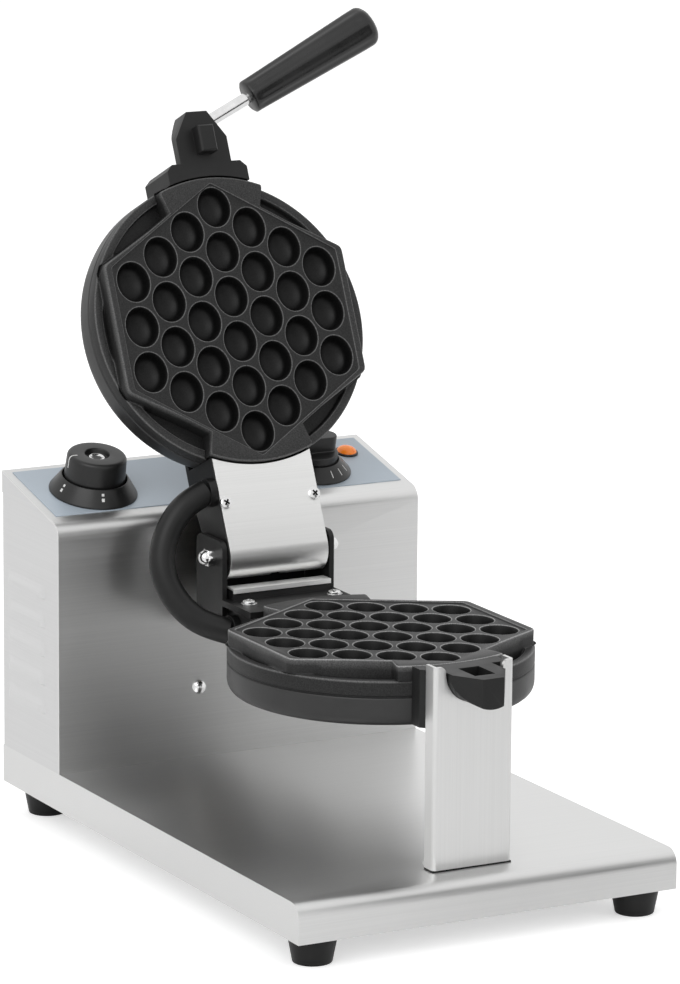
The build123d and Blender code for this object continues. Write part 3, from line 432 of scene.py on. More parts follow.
def soften(piece, width, segments, sharp=35):
    """Rounds the edges of a piece, as those of a casting or of a cut sheet are."""
    bevel = piece.modifiers.new("soft_edge", "BEVEL")
    bevel.width = width
    bevel.segments = segments
    bevel.limit_method = "ANGLE"
    bevel.angle_limit = math.radians(sharp)
    bevel.harden_normals = True


def finished_copy(node, finish, edge, sharp=35, brushing=None):
    """A solid's surface with its corners merged, its flats joined and its edges rounded."""
    source = frame["nodes"][node]
    mesh = source.data.copy()
    work = bmesh.new()
    work.from_mesh(mesh)
    bmesh.ops.remove_doubles(work, verts=work.verts, dist=2 * merge_distance)
    bmesh.ops.dissolve_limit(work, angle_limit=flat_angle, verts=work.verts,
                             edges=work.edges)
    work.to_mesh(mesh)
    work.free()
    if brushing:
        lay_brushing(mesh, brushing)
    mesh.materials.clear()
    mesh.materials.append(finish)
    mesh.shade_smooth()
    mesh.set_sharp_from_angle(angle=math.radians(sharp))
    piece = bpy.data.objects.new(node + "_finished", mesh)
    bpy.context.scene.collection.objects.link(piece)
    soften(piece, edge, 2, sharp)
    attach(piece, source["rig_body"])
    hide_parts(node)
    return piece


steel_across = brushed_finish("steel_brushed_across", (0.77, 0.77, 0.765), 0.28, 0.38,
                              (drawn_out, 1, 1), 0.8)
finished_copy("base_tray", steel_across, sheet_edge, brushing=sideways)

# Feet: four tapered black rubber feet, each held by one screw from below.
# The rubber has a soft sheen, and a thin raised band under the tray.
foot_top_radius = 0.0140
foot_bottom_radius = 0.0115
foot_bore_radius = 0.0046
foot_band = 0.003
foot_rounding = 0.0009


def turned_surface(profile, sides):
    """A surface of revolution: each (radius, height) of the profile goes round the axis."""
    profile = np.array(profile)
    turn = full_turn(sides)
    radius = profile[:, 0][:, None]
    height = np.repeat(profile[:, 1][:, None], sides, axis=1)
    points = np.stack([radius * np.cos(turn), radius * np.sin(turn), height], axis=-1)
    return points.reshape(-1, 3), grid_faces(len(profile), sides)


def round_profile(corners, radius, steps=4):
    """A profile whose inner corners are replaced by short arcs, as quadratic curves."""
    corners = np.array(corners, float)
    out = [corners[:1]]
    t = np.linspace(0, 1, steps + 1)[:, None]
    for before, here, after in zip(corners, corners[1:], corners[2:]):
        reach = min(radius, 0.45 * np.linalg.norm(before - here),
                    0.45 * np.linalg.norm(after - here))
        start = here + (before - here) / np.linalg.norm(before - here) * reach
        end = here + (after - here) / np.linalg.norm(after - here) * reach
        out.append((1 - t) ** 2 * start + 2 * t * (1 - t) * here + t ** 2 * end)
    out.append(corners[-1:])
    return np.vstack(out)


def placed(points, place):
    """Points turned and moved by a placement."""
    return np.asarray(points) @ np.array(place.to_3x3()).T + np.array(place.to_translation())


def turned_piece(name, profile, sides, place, body, finish, stands_for=()):
    """A piece turned round its own upright axis and then put in its place."""
    points, faces = turned_surface(profile, sides)
    return make_piece(name, placed(points, place), faces, body, finish, stands_for)


for foot in ("foot_front_left", "foot_front_right", "foot_back_left", "foot_back_right"):
    low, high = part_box(foot)
    tall = high.z
    foot_shape = round_profile([(0, tall), (foot_top_radius, tall),
                                (foot_top_radius, tall - foot_band),
                                (foot_bottom_radius, 0.0), (foot_bore_radius, 0.0),
                                (foot_bore_radius, tall / 2), (0, tall / 2)], foot_rounding)
    foot_place = Matrix.Translation(((low.x + high.x) / 2, (low.y + high.y) / 2, 0))
    turned_piece(foot + "_moulded", foot_shape, 48, foot_place, "stand",
                 rubber_finish, [foot])

# Housing: front wall and sloped top bent from one brushed sheet, side panels with five
# pressed louvres each, and a plain back panel set in behind a flange. The front is
# brushed from side to side and the side panels from front to back.
panel_slope = math.radians(13.75)
panel_outside = 0.125
panel_inside = 0.1235
panel_corner = 0.0075
louvre_count = 5
louvre_front = 0.13425
louvre_back = 0.18825
louvre_top = 0.1548
louvre_pitch = 0.018
louvre_height = 0.009
louvre_bulge = 0.0024
louvre_end = 0.006
louvre_drop = 0.0012
lengthways = (0, 1, 0)
steel_lengthways = brushed_finish("steel_brushed_lengthways", (0.70, 0.70, 0.70), 0.30, 0.40,
                                  (1, drawn_out, 1), 0.6)
for sheet in ("housing_front_top", "back_panel"):
    finished_copy(sheet, steel_across, sheet_edge, brushing=sideways)


def smooth_step(value, low, high):
    """0 below low, 1 above high, and 3t^2 - 2t^3 between."""
    t = np.clip((value - low) / (high - low), 0, 1)
    return t * t * (3 - 2 * t)


def louvre_lift(y, z):
    """How far the louvres stand out: bulge * sin(pi/2 * share down) ^ 1.4, then a drop."""
    ends = smooth_step(y, louvre_front, louvre_front + louvre_end)
    ends = ends * (1 - smooth_step(y, louvre_back - louvre_end, louvre_back))
    tops = louvre_top - louvre_pitch * np.arange(louvre_count)
    share = (tops - z[..., None]) / louvre_height
    rise = np.sin(np.clip(share, 0, 1) * math.pi / 2) ** 1.4
    drop = 1 - smooth_step(share, 1.0, 1.08)
    return louvre_bulge * ends * (rise * drop).max(axis=-1)


def louvred_panel(low, high, side):
    """A closed sheet 1.5 mm thick: rows upwards, columns from front to back.

    The top row follows the panel's slope and a corner of radius 7.5 mm at the front.
    """
    bend = np.linspace(0, math.pi / 2 - panel_slope, 10)
    middle = low.y + panel_corner
    straight_from = middle - panel_corner * math.sin(panel_slope)
    stops = [straight_from, louvre_front, louvre_front + louvre_end,
             louvre_back - louvre_end, louvre_back, high.y]
    stretches = [np.linspace(start, end, count)[:-1]
                 for start, end, count in zip(stops, stops[1:], (5, 12, 9, 12, 4))]
    y = np.concatenate([middle - panel_corner * np.cos(bend)[:-1], *stretches, [high.y]])
    line = high.z - (high.y - y) * math.tan(panel_slope)
    centre = (high.z - (high.y - middle) * math.tan(panel_slope)
              - panel_corner / math.cos(panel_slope))
    arc = centre + np.sqrt(np.clip(panel_corner ** 2 - (y - middle) ** 2, 0, None))
    top = np.where(y < straight_from, arc, line)
    first = louvre_top - (louvre_count - 1) * louvre_pitch - louvre_height - louvre_drop
    one = np.concatenate([np.linspace(0, louvre_drop, 4),
                          louvre_drop + np.linspace(0.001, louvre_height, 9)])
    fixed = (first + louvre_pitch * np.arange(louvre_count)[:, None] + one[None, :]).ravel()
    fixed = np.concatenate([np.linspace(low.z, first, 4)[:-1], fixed])
    share = np.linspace(0, 1, 6)[1:, None]
    z = np.vstack([np.repeat(fixed[:, None], len(y), axis=1),
                   fixed[-1] + (top - fixed[-1])[None, :] * share])
    y = np.broadcast_to(y, z.shape)
    face = side * (panel_outside + louvre_lift(y, z))
    back = np.full(z.shape, side * panel_inside)
    outer = np.stack([face, y, z], axis=-1).reshape(-1, 3)
    inner = np.stack([back, y, z], axis=-1).reshape(-1, 3)
    rows, columns = z.shape
    count = rows * columns
    index = np.arange(count).reshape(rows, columns)
    loop = np.concatenate([index[0, :-1], index[:-1, -1], index[-1, :0:-1], index[:0:-1, 0]])
    after = np.roll(loop, -1)
    rim = np.stack([loop, after, after + count, loop + count], axis=-1)
    sheet = grid_faces(rows, columns, False)
    return np.vstack([outer, inner]), np.vstack([sheet, sheet + count, rim])


for side, panel_name in ((-1, "side_panel_left"), (1, "side_panel_right")):
    points, faces = louvred_panel(*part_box(panel_name), side)
    panel = make_piece(panel_name + "_pressed", points, faces, "stand",
                       steel_lengthways, [panel_name])
    lay_brushing(panel.data, lengthways)

# Cradle: a folded channel of brushed stainless steel with a U-shaped notch, on a thin
# black pad. The front lugs lie in the notch, and its ears have bright rounded edges.
steel_upright = brushed_finish("steel_brushed_upright", (0.74, 0.74, 0.735), 0.30, 0.40,
                               (1, 1, drawn_out), 0.5)
finished_copy("cradle_column", steel_upright, 0.0005, brushing=(0, 0, 1))
finished_copy("column_pad", rubber_finish, 0.0002)

# Panel film: a pale blue-grey printed film on the sloped top. It is satin plastic, stuck
# down flat, with round holes for the spindles and the lamp.
film_thickness = 0.0005
film_finish, film_shader = new_finish("panel_film", (0.42, 0.49, 0.56), 0, 0.34)
mottle(film_finish, film_shader, 30, (0.45, 0.52, 0.59), (0.49, 0.56, 0.63), 0.28, 0.4)
finished_copy("control_overlay", film_finish, 0.0001)

# Control knobs: black satin mouldings on conical dial rings with white marks.
# The thermostat's has a bright ringed cap in its sunk top, the timer's is a bar.
# They turn on the sloped panel's normal, so their shapes are made upright and then laid.
knob_bottom = 0.0020
knob_top = 0.0260
knob_bottom_radius = 0.0194
knob_top_radius = 0.0184
knob_land_radius = 0.0120
knob_rounding = 0.0040
hollow_floor = 0.0230
hollow_radius = 0.0078
hollow_floor_radius = 0.0070
cap_radius = 0.0036
cap_height = 0.0004
pointer_start = (0.01871, 0.0180)
pointer_end = (0.0133, knob_top)
mark_lift = 0.00006
pointer_lift = 0.00008
dial_foot = 0.001
dial_rounding = 0.0006
thermostat_cone = (0.0275, 0.0210, 0.0105)
timer_cone = (0.0255, 0.0175, 0.0085)
thermostat_spots = 258.4 - 67.7 * np.arange(5)
timer_spots = np.arange(-80, 200, 20)
knob_finish = moulded_finish("satin_moulding", (0.009,) * 3, (0.016,) * 3, 0.30, 0.40,
                             1300, 0.00004, 0.42)
joints = {joint["name"]: joint for joint in frame["joints"]}


def on_panel(joint_name):
    """The placement that stands a shape on the sloped panel at a knob's axis."""
    joint = joints[joint_name]
    normal = Vector(joint["axis"]).normalized()
    side = Vector((1, 0, 0))
    upwards = normal.cross(side)
    turned_axes = Matrix((side, upwards, normal)).transposed().to_4x4()
    return Matrix.Translation(Vector(joint["pos_m"])) @ turned_axes


thermostat_seat = on_panel("thermostat_turn")
timer_seat = on_panel("timer_turn")
knob_side = round_profile([(0, knob_bottom), (knob_bottom_radius, knob_bottom),
                           (knob_top_radius, knob_top), (knob_land_radius, knob_top)],
                          knob_rounding, 8)
knob_hollow = round_profile([(knob_land_radius, knob_top), (hollow_radius, knob_top),
                             (hollow_floor_radius, hollow_floor), (0, hollow_floor)], 0.0006)
turned_piece("thermostat_knob_moulded", np.vstack([knob_side, knob_hollow[1:]]), 96,
             thermostat_seat, "thermostat_dial", knob_finish,
             ["thermostat_knob"])
cap_top = hollow_floor + cap_height
cap_face = round_profile([(0, hollow_floor), (cap_radius, hollow_floor),
                          (cap_radius, cap_top), (0, cap_top)], 0.0001)
turned_piece("thermostat_cap_face", cap_face, 64, thermostat_seat, "thermostat_dial",
             knob_finish)

white_finish, white_shader = new_finish("white_paint", (0.8, 0.8, 0.8), 0, 0.5)
white_grain = add_noise(white_finish, 900)
set_tones(white_finish, white_shader, white_grain, (0.72, 0.72, 0.71), (0.84, 0.84, 0.83))
add_bump(white_finish, white_shader, white_grain, 0.2, 0.00002)

for name, seat, cone, bore in (("thermostat_bezel", thermostat_seat, thermostat_cone, 0.0202),
                               ("timer_bezel", timer_seat, timer_cone, 0.0168)):
    radius, top_radius, tall = cone
    top = film_thickness + tall
    shape = round_profile([(bore, film_thickness), (radius, film_thickness),
                           (radius, film_thickness + dial_foot), (top_radius, top),
                           (bore, top), (bore, film_thickness)], dial_rounding)
    turned_piece(name + "_moulded", shape, 96, seat, "stand", knob_finish,
                 [name])


def marks_on_cone(name, seat, cone, angles, start, end, half_width):
    """Thin white strips up a dial ring: at each angle, between two shares of its slope."""
    radius, top_radius, tall = cone
    angle = np.radians(angles)[:, None]
    share = np.array([start, start, end, end])[None, :]
    side = np.array([-1, 1, 1, -1])[None, :] * half_width
    r = radius + (top_radius - radius) * share + mark_lift
    z = film_thickness + dial_foot + (tall - dial_foot) * share + mark_lift
    x = r * np.cos(angle) - side * np.sin(angle)
    y = r * np.sin(angle) + side * np.cos(angle)
    points = np.stack([x, y, np.broadcast_to(z, x.shape)], axis=-1).reshape(-1, 3)
    faces = np.arange(len(points)).reshape(-1, 4)
    make_piece(name, placed(points, seat), faces, "stand", white_finish)


def meridian_strip(profile, angle, half_width):
    """A thin strip over a turned shape, up its side and on to its top, at an angle."""
    along = unit_rows(np.gradient(profile, axis=0))
    lifted = profile + pointer_lift * np.stack([along[:, 1], -along[:, 0]], axis=-1)
    r = lifted[:, :1]
    side = np.array([[-half_width, half_width]])
    x = r * math.cos(angle) - side * math.sin(angle)
    y = r * math.sin(angle) + side * math.cos(angle)
    z = lifted[:, 1:] + 0 * side
    points = np.stack([x, y, z], axis=-1).reshape(-1, 3)
    return points, grid_faces(len(profile), 2, False)


between = (knob_side[:, 1] > pointer_start[1]) & (knob_side[:, 0] > pointer_end[0])
pointer_way = np.vstack([pointer_start, knob_side[between], pointer_end])
points, faces = meridian_strip(pointer_way, math.radians(178), 0.0005)
make_piece("thermostat_pointer", placed(points, thermostat_seat), faces, "thermostat_dial",
           white_finish)
marks_on_cone("thermostat_dots", thermostat_seat, thermostat_cone, thermostat_spots,
              0.66, 0.8, 0.0008)
marks_on_cone("thermostat_marks", thermostat_seat, thermostat_cone, thermostat_spots,
              0.36, 0.54, 0.0009)
marks_on_cone("timer_marks", timer_seat, timer_cone, timer_spots, 0.3, 0.75, 0.0003)

# Front pan plates: thirty oval cells in a sunk six-sided field, on a raised six-sided
# land inside the round rim, with troughs between. They are cast aluminium with a
# fine-grained black non-stick coating, and both halves are alike.
pan_radius = 0.091
cell_pitch = 0.02856
column_pitch = 0.02133
cell_half_width = 0.0109
cell_half_length = 0.0126
land_half_width = 0.082
land_corner = 0.040
land_apex = 0.086
field_half_width = 0.0766
field_corner = 0.0383
arc_half_width = 0.036
face_level = -0.00015
field_level = face_level - 0.0012
lip_level = -0.009
trough_level = -0.014
lip_width = 0.006
plate_bottom = -0.019
cell_lip = 0.0008
cell_sides = 48
rim_sides = 720
plain_field_shading = 0.5
lid_highlight_cap = 0.64


def cell_centres():
    """Seven columns with one cell fewer in each column outwards."""
    spots = []
    for column in range(-3, 4):
        count = 6 - abs(column)
        spots += [(column * column_pitch, (k - (count - 1) / 2) * cell_pitch)
                  for k in range(count)]
    return np.array(spots)


def six_sided_reach(angle, half_width, corner, apex, rounding):
    """How far the six-sided outline lies from its middle at an angle, corners eased."""
    edges = []
    corners = [(half_width, -corner), (half_width, corner), (0, apex),
               (-half_width, corner), (-half_width, -corner), (0, -apex)]
    for (x0, y0), (x1, y1) in zip(corners, corners[1:] + corners[:1]):
        normal = np.array([y1 - y0, x0 - x1])
        normal = normal / np.linalg.norm(normal)
        offset = normal @ np.array([x0, y0])
        facing = np.cos(angle) * normal[0] + np.sin(angle) * normal[1]
        edges.append(np.where(facing > 0.05, offset / np.maximum(facing, 0.05), 1.0))
    edges = np.array(edges)
    return -rounding * np.log(np.exp(-(edges - edges.min(0)) / rounding).sum(0)) + edges.min(0)


def plate_rings():
    """Rings about the middle from the sunk field out over land, trough, lip and side.

    Each ring is an outline r(angle) with a height z(angle) and a painted shading value:
    low in the troughs, a painted shade, and high on the edges of the field, the land and
    the rim, a painted highlight. The land reaches the rim in two sectors, where the trough
    fills up by a smooth step.
    """
    angle = full_turn(rim_sides)
    field = six_sided_reach(angle, field_half_width, field_corner, land_apex, 0.0006)
    land = six_sided_reach(angle, land_half_width, land_corner, land_apex, 0.0012)
    edge = pan_radius - 0.0006
    width = np.abs(edge * np.cos(angle))
    filled = 1 - smooth_step(width, arc_half_width - 0.0012, arc_half_width + 0.0012)
    land = np.minimum(land * (1 - filled) + edge * filled, edge)
    inner = np.minimum(land + 0.0008, edge + 0.0001)
    wall = np.maximum(np.full_like(land, pan_radius - lip_width), inner)
    depth = smooth_step(wall - inner, 0.0002, 0.003)
    floor = lip_level + (trough_level - lip_level) * depth
    whole = np.ones_like(land)
    rim = pan_radius * whole
    return angle, [
        (field, field_level * whole, 0.42),
        (field + 0.0003, field_level + 0.0002 * whole, 0.36),
        (field + 0.0009, face_level - 0.0002 * whole, 0.85),
        (field + 0.0013, face_level * whole, 0.52),
        (np.maximum(land - 0.0012, field + 0.0018), face_level * whole, 0.52),
        (np.maximum(land - 0.0004, field + 0.0022), face_level - 0.0002 * whole, 0.95),
        (np.maximum(land, field + 0.0024), face_level - 0.0010 * whole, 0.6),
        (np.maximum(inner - 0.0003, field + 0.0026), floor + 0.0008, 0.36),
        (np.maximum(inner, field + 0.0028), floor, 0.3),
        (np.maximum(wall - 0.0006, inner), floor, 0.3),
        (np.maximum(wall, inner), floor * 0.85 + lip_level * 0.15, 0.4),
        (np.maximum(wall + 0.0006, inner), (lip_level - 0.0004) * whole, 0.62),
        (np.maximum(wall + 0.0014, inner), lip_level * whole, 0.52),
        (np.maximum(rim - 0.0012, inner), lip_level * whole, 0.52),
        (rim - 0.0003, (lip_level - 0.0004) * whole, 0.66),
        (rim, (lip_level - 0.0014) * whole, 0.5),
        (rim, (plate_bottom + 0.0014) * whole, 0.5),
        (rim - 0.0006, (plate_bottom + 0.0008) * whole, 0.3),
        (rim - 0.0006, plate_bottom * whole, 0.3),
        (rim * 0.5, plate_bottom * whole, 0.3),
        (rim * 0, plate_bottom * whole, 0.3),
    ]


def plate_surface():
    """The plate about its middle, face up: cells, the field between them, and the rings.

    The painted shading is low in the cells, a painted shade in the hollows, and high on
    the cells' lips and the land's edges, a painted highlight on the rounded edges.
    """
    centres = cell_centres()
    turn = full_turn(cell_sides)
    shares = np.array([1.0, 1.0, 1.0, 1.0, 0.98, 0.955, 0.93, 0.90, 0.87, 0.82, 0.74, 0.6,
                       0.4, 0.2, 0.0])
    depths = np.array([0.0, 0.0, -0.0001, -0.0005, -0.0014, -0.0024, -0.0035, -0.0050,
                       -0.0065, -0.0076, -0.0086, -0.0097, -0.0106, -0.01095, -0.0110])
    shading_values = np.array([0.5, 0.85, 1.0, 0.5, 0.12, 0.06, 0.04, 0.03, 0.03, 0.04, 0.09, 0.14,
                      0.16, 0.16, 0.16])
    grow = np.array([cell_lip, cell_lip * 0.5, cell_lip * 0.2] + [0.0] * (len(shares) - 3))
    x = (cell_half_width * shares + grow)[:, None] * np.cos(turn)
    y = (cell_half_length * shares + grow)[:, None] * np.sin(turn)
    z = np.broadcast_to((field_level + depths)[:, None], x.shape)
    one = np.stack([x, y, z], axis=-1).reshape(-1, 3)
    shift = np.hstack([centres, np.zeros((len(centres), 1))])
    cells = (shift[:, None, :] + one[None]).reshape(-1, 3)
    one_faces = grid_faces(len(shares), cell_sides)
    steps = np.arange(len(centres)) * len(one)
    cell_faces = (steps[:, None, None] + one_faces[None]).reshape(-1, 4)

    angle, rings = plate_rings()
    r = np.array([ring[0] for ring in rings])
    z = np.array([ring[1] for ring in rings])
    outer = np.stack([r * np.cos(angle), r * np.sin(angle), z], axis=-1)
    outline = outer[0, :, :2]
    mouth_reach = np.array([cell_half_width, cell_half_length]) + cell_lip
    mouth = mouth_reach * np.stack([np.cos(turn), np.sin(turn)], axis=-1)
    holes = (centres[:, None, :] + mouth[None]).reshape(-1, 2)
    flat = [Vector(p) for p in np.vstack([outline, holes])]
    loops = [list(range(rim_sides))]
    loops += [list(range(rim_sides + k * cell_sides, rim_sides + (k + 1) * cell_sides))
              for k in range(len(centres))]
    edges = [(a, b) for loop in loops for a, b in zip(loop, loop[1:] + loop[:1])]
    points, _, faces, _, _, _ = delaunay_2d_cdt(flat, edges, [loops[0]], 1, 1e-7)
    points = np.array([tuple(p) for p in points])
    faces = np.array(faces)
    offset = points[faces].mean(axis=1)[:, None, :] - centres[None]
    inside = ((offset / mouth_reach) ** 2).sum(axis=-1).min(axis=1) < 1
    faces = faces[~inside]
    field = np.hstack([points, np.full((len(points), 1), field_level)])

    everything = np.vstack([cells, outer.reshape(-1, 3), field])
    all_faces = cell_faces.tolist()
    all_faces += (grid_faces(len(rings), rim_sides) + len(cells)).tolist()
    all_faces += (faces + len(cells) + len(rings) * rim_sides).tolist()
    cell_shading = np.tile(np.repeat(shading_values, cell_sides), len(centres))
    ring_shading = np.repeat([ring[2] for ring in rings], rim_sides)
    field_shading = np.full(len(field), plain_field_shading)
    field_shading[:rim_sides] = rings[0][2]
    return everything, all_faces, np.concatenate([cell_shading, ring_shading, field_shading])


def read_painted_shading(finish):
    """The painted shading attribute of the piece that wears the finish."""
    reader = finish.node_tree.nodes.new("ShaderNodeAttribute")
    reader.attribute_name = "painted_shading"
    return reader.outputs["Fac"]


pan_middle = Vector(joints["pan_turn"]["pos_m"])
hinge_middle = Vector(joints["lid_hinge"]["pos_m"])
hinge_point = Matrix.Translation(hinge_middle)
lid_angle = math.radians(joints["lid_hinge"]["range_deg"][1])
lower_place = Matrix.Translation(pan_middle)
opening = hinge_point @ Matrix.Rotation(-lid_angle, 4, "X") @ hinge_point.inverted()
upper_place = opening @ Matrix.Translation(pan_middle) @ Matrix.Rotation(math.pi, 4, "Y")

# Plate colour from the painted shading: near black where it is low, a painted shade in the
# cells and troughs, the plain coating at 0.5, and pale grey where it is high, a painted
# highlight on the lips and edges. The speckle is the coating's own grain.
plate_finish, plate_shader = new_finish("nonstick_coating", (0.03,) * 3, 0, 0.5)
plate_shader.inputs["Specular IOR Level"].default_value = 0.22
tree = plate_finish.node_tree
shade = tree.nodes.new("ShaderNodeValToRGB")
shade.color_ramp.elements[0].color = (0.003, 0.003, 0.003, 1)
shade.color_ramp.elements[1].color = (0.42, 0.42, 0.42, 1)
shade.color_ramp.elements.new(0.5).color = (0.021, 0.021, 0.021, 1)
tree.links.new(read_painted_shading(plate_finish), shade.inputs["Fac"])
speckle = add_noise(plate_finish, 1500, detail=2)
grain = tree.nodes.new("ShaderNodeVectorMath")
grain.operation = "SCALE"
tree.links.new(shade.outputs["Color"], grain.inputs["Vector"])
set_range(plate_finish, speckle, 0.55, 1.45, grain.inputs["Scale"])
tree.links.new(grain.outputs["Vector"], plate_shader.inputs["Base Color"])
set_range(plate_finish, add_noise(plate_finish, 40), 0.38, 0.5,
          plate_shader.inputs["Roughness"])
add_bump(plate_finish, plate_shader, speckle, 0.5, 0.00012)
plate_points, plate_faces, plate_shading = plate_surface()
make_piece("lower_plate_cast", placed(plate_points, lower_place), plate_faces, "pan",
           plate_finish, ["lower_plate"], plate_shading)
# The lid's plate wears the same painted shading with its painted highlights held lower, a
# painted shade that leaves it darker than the pan's plate.
make_piece("upper_plate_cast", placed(plate_points, upper_place), plate_faces, "lid",
           plate_finish, ["upper_plate"],
           np.minimum(plate_shading, lid_highlight_cap))

# Pan covers: round cast covers behind the plates, closed at the back, in satin black
# paint. The lower one carries the boss that the hinge bracket is screwed to.
cover_depth = 0.0175
cover_wall = 0.003
cover_rounding = 0.008
cover_floor = plate_bottom - cover_depth
cover_inner_floor = cover_floor + cover_wall
cover_inner_radius = pan_radius - cover_wall
boss_half_width = 0.034
boss_end = 0.1471
boss_top = -0.0102
boss_overlap = 0.0005
boss_clearance = 0.0003
boss_lap = 0.001
boss_edge = 0.0008
cover_outside = round_profile([(cover_inner_radius, plate_bottom), (pan_radius, plate_bottom),
                               (pan_radius, cover_floor), (0, cover_floor)],
                              cover_rounding, 8)
cover_shape = np.vstack([[(0, cover_inner_floor), (cover_inner_radius, cover_inner_floor)],
                         cover_outside])
casting_finish = moulded_finish("satin_casting", (0.012,) * 3, (0.024,) * 3, 0.36, 0.5,
                                520, 0.00012)
turned_piece("upper_cover_cast", cover_shape, 192, upper_place, "lid",
             casting_finish, ["upper_cover"])
turned_piece("lower_cover_cast", cover_shape, 192, lower_place, "pan",
             casting_finish, ["lower_cover"])


def upright_prism(name, outline, bottom, top, finish, edge):
    """A block on the pan: an outline (x, y) at two heights, joined by sides and two caps."""
    outline = np.array(outline)
    count = len(outline)
    levels = np.repeat([bottom, top], count)[:, None]
    points = np.hstack([np.vstack([outline, outline]), levels])
    faces = grid_faces(2, count).tolist() + [list(range(count)), list(range(count, 2 * count))]
    piece = make_piece(name, placed(points, lower_place), faces, "pan",
                       finish)
    soften(piece, edge, 3)


reach = math.asin(boss_half_width / (pan_radius - boss_overlap))
arc = np.linspace(-reach, reach, 24)
boss_front = np.stack([np.sin(arc), np.cos(arc)], axis=-1)
boss_back = [(boss_half_width, boss_end), (-boss_half_width, boss_end)]
for name, radius, bottom, top in (
        ("lower_cover_boss_foot", pan_radius - boss_overlap, cover_inner_floor, plate_bottom),
        ("lower_cover_boss", pan_radius + boss_clearance, plate_bottom - boss_lap, boss_top)):
    upright_prism(name, np.vstack([radius * boss_front, boss_back]), bottom, top,
                  casting_finish, boss_edge)

# Castings of the front lugs, the hinge bracket and the hinge arm, in the covers' black
# paint made less shiny and darker, the darkening a painted shade. The sleeve and the
# cord's inlet pass through rubber bushes.
# Painted shade: this copy of the casting paint is darker than the covers'.
lug_finish = moulded_finish("shaded_casting", (0.008,) * 3, (0.014,) * 3, 0.40, 0.54,
                            520, 0.00012, 0.3)
for casting in ("lower_lug", "upper_lug", "hinge_bracket", "hinge_arm"):
    finished_copy(casting, lug_finish, 0.0007)
for bush in ("upper_gland", "lower_gland", "cable_gland"):
    finished_copy(bush, rubber_finish, 0.0003)

# Hinge sheet and strip: thin bright stainless, brushed across, curled round the hinge.
# Behind the barrel a dark plate closes the bracket between its cheeks.
hinge_reach = 0.1431
back_half_width = 0.0345
back_front = hinge_reach + 0.0180
back_rear = hinge_reach + 0.0195
back_bottom = -0.0062
back_top = 0.0120
hinge_steel = brushed_finish("hinge_steel", (0.93, 0.93, 0.92), 0.30, 0.34,
                             (drawn_out, 1, 1), 0.35)
strip_steel = brushed_finish("strip_steel", (0.93, 0.93, 0.92), 0.5, 0.6, (drawn_out, 1, 1))
finished_copy("hinge_cover", hinge_steel, 0.0002, brushing=sideways)
finished_copy("hinge_strip", strip_steel, 0.0002)
upright_prism("hinge_back_plate",
              [(-back_half_width, back_front), (back_half_width, back_front),
               (back_half_width, back_rear), (-back_half_width, back_rear)],
              back_bottom, back_top, lug_finish, 0.0003)

# Fasteners: plated steel screws, domed nuts and bolts, and the hinge pin, bright with
# faint smudges. The cross-head screws hold the hinge sheet and the bracket, the nuts
# close the pin's ends, and the bolts hold the bearing behind the housing's front.
screw_sides = 96
screw_head_radius = 0.0038
screw_head_height = 0.0022
screw_cross_depth = 0.0011
screw_shank_radius = 0.0020
screw_shank_end = -0.0080
washer_radius = 0.0050
washer_thickness = 0.0008
cover_screw_side = 0.0304
cover_screw_place = (0.1135, 0.0029)
bracket_screw_side = 0.0294
bracket_screw_place = (0.1125, -0.0054)
nut_half_width = 0.005
nut_side = 0.0385
bolt_radius = 0.0044
bolt_shank_radius = 0.003
bolt_shank_end = -0.0105
bolt_band = 0.0006
bolt_dome = 0.0028
bolt_side = 0.0292
bolt_place = (0.11575, 0.0841)
cap_ring_inside = 0.0030
cap_ring_outside = 0.0050
bright_finish, bright_shader = new_finish("bright_plating", (0.80,) * 3, 1, 0.14)
mottle(bright_finish, bright_shader, 240, (0.74,) * 3, (0.82,) * 3, 0.08, 0.2)
for fastener in ("foot_screws", "back_panel_screws", "column_screws", "hinge_pin",
                 "arm_screws"):
    finished_copy(fastener, bright_finish, 0.0002, 40)
# Screw plating: the painted shading darkens the cross recesses to near black, a painted shade.
plated_finish, plated_shader = new_finish("screw_plating", (0.75,) * 3, 1, 0.2)
set_tones(plated_finish, plated_shader, read_painted_shading(plated_finish), (0.75,) * 3, (0.03,) * 3)
set_range(plated_finish, add_noise(plated_finish, 300), 0.14, 0.26,
          plated_shader.inputs["Roughness"])


def repeated_piece(name, shape, places, body, finish, node, painted_shading=None):
    """The same fastener at several places, as one piece."""
    points, faces = shape
    everything = np.vstack([placed(points, place) for place in places])
    shift = (np.arange(len(places)) * len(points))[:, None, None]
    all_faces = (shift + faces[None]).reshape(-1, faces.shape[1])
    shading_values = None if painted_shading is None else np.tile(painted_shading, len(places))
    make_piece(name, everything, all_faces, body, finish, [node], shading_values)


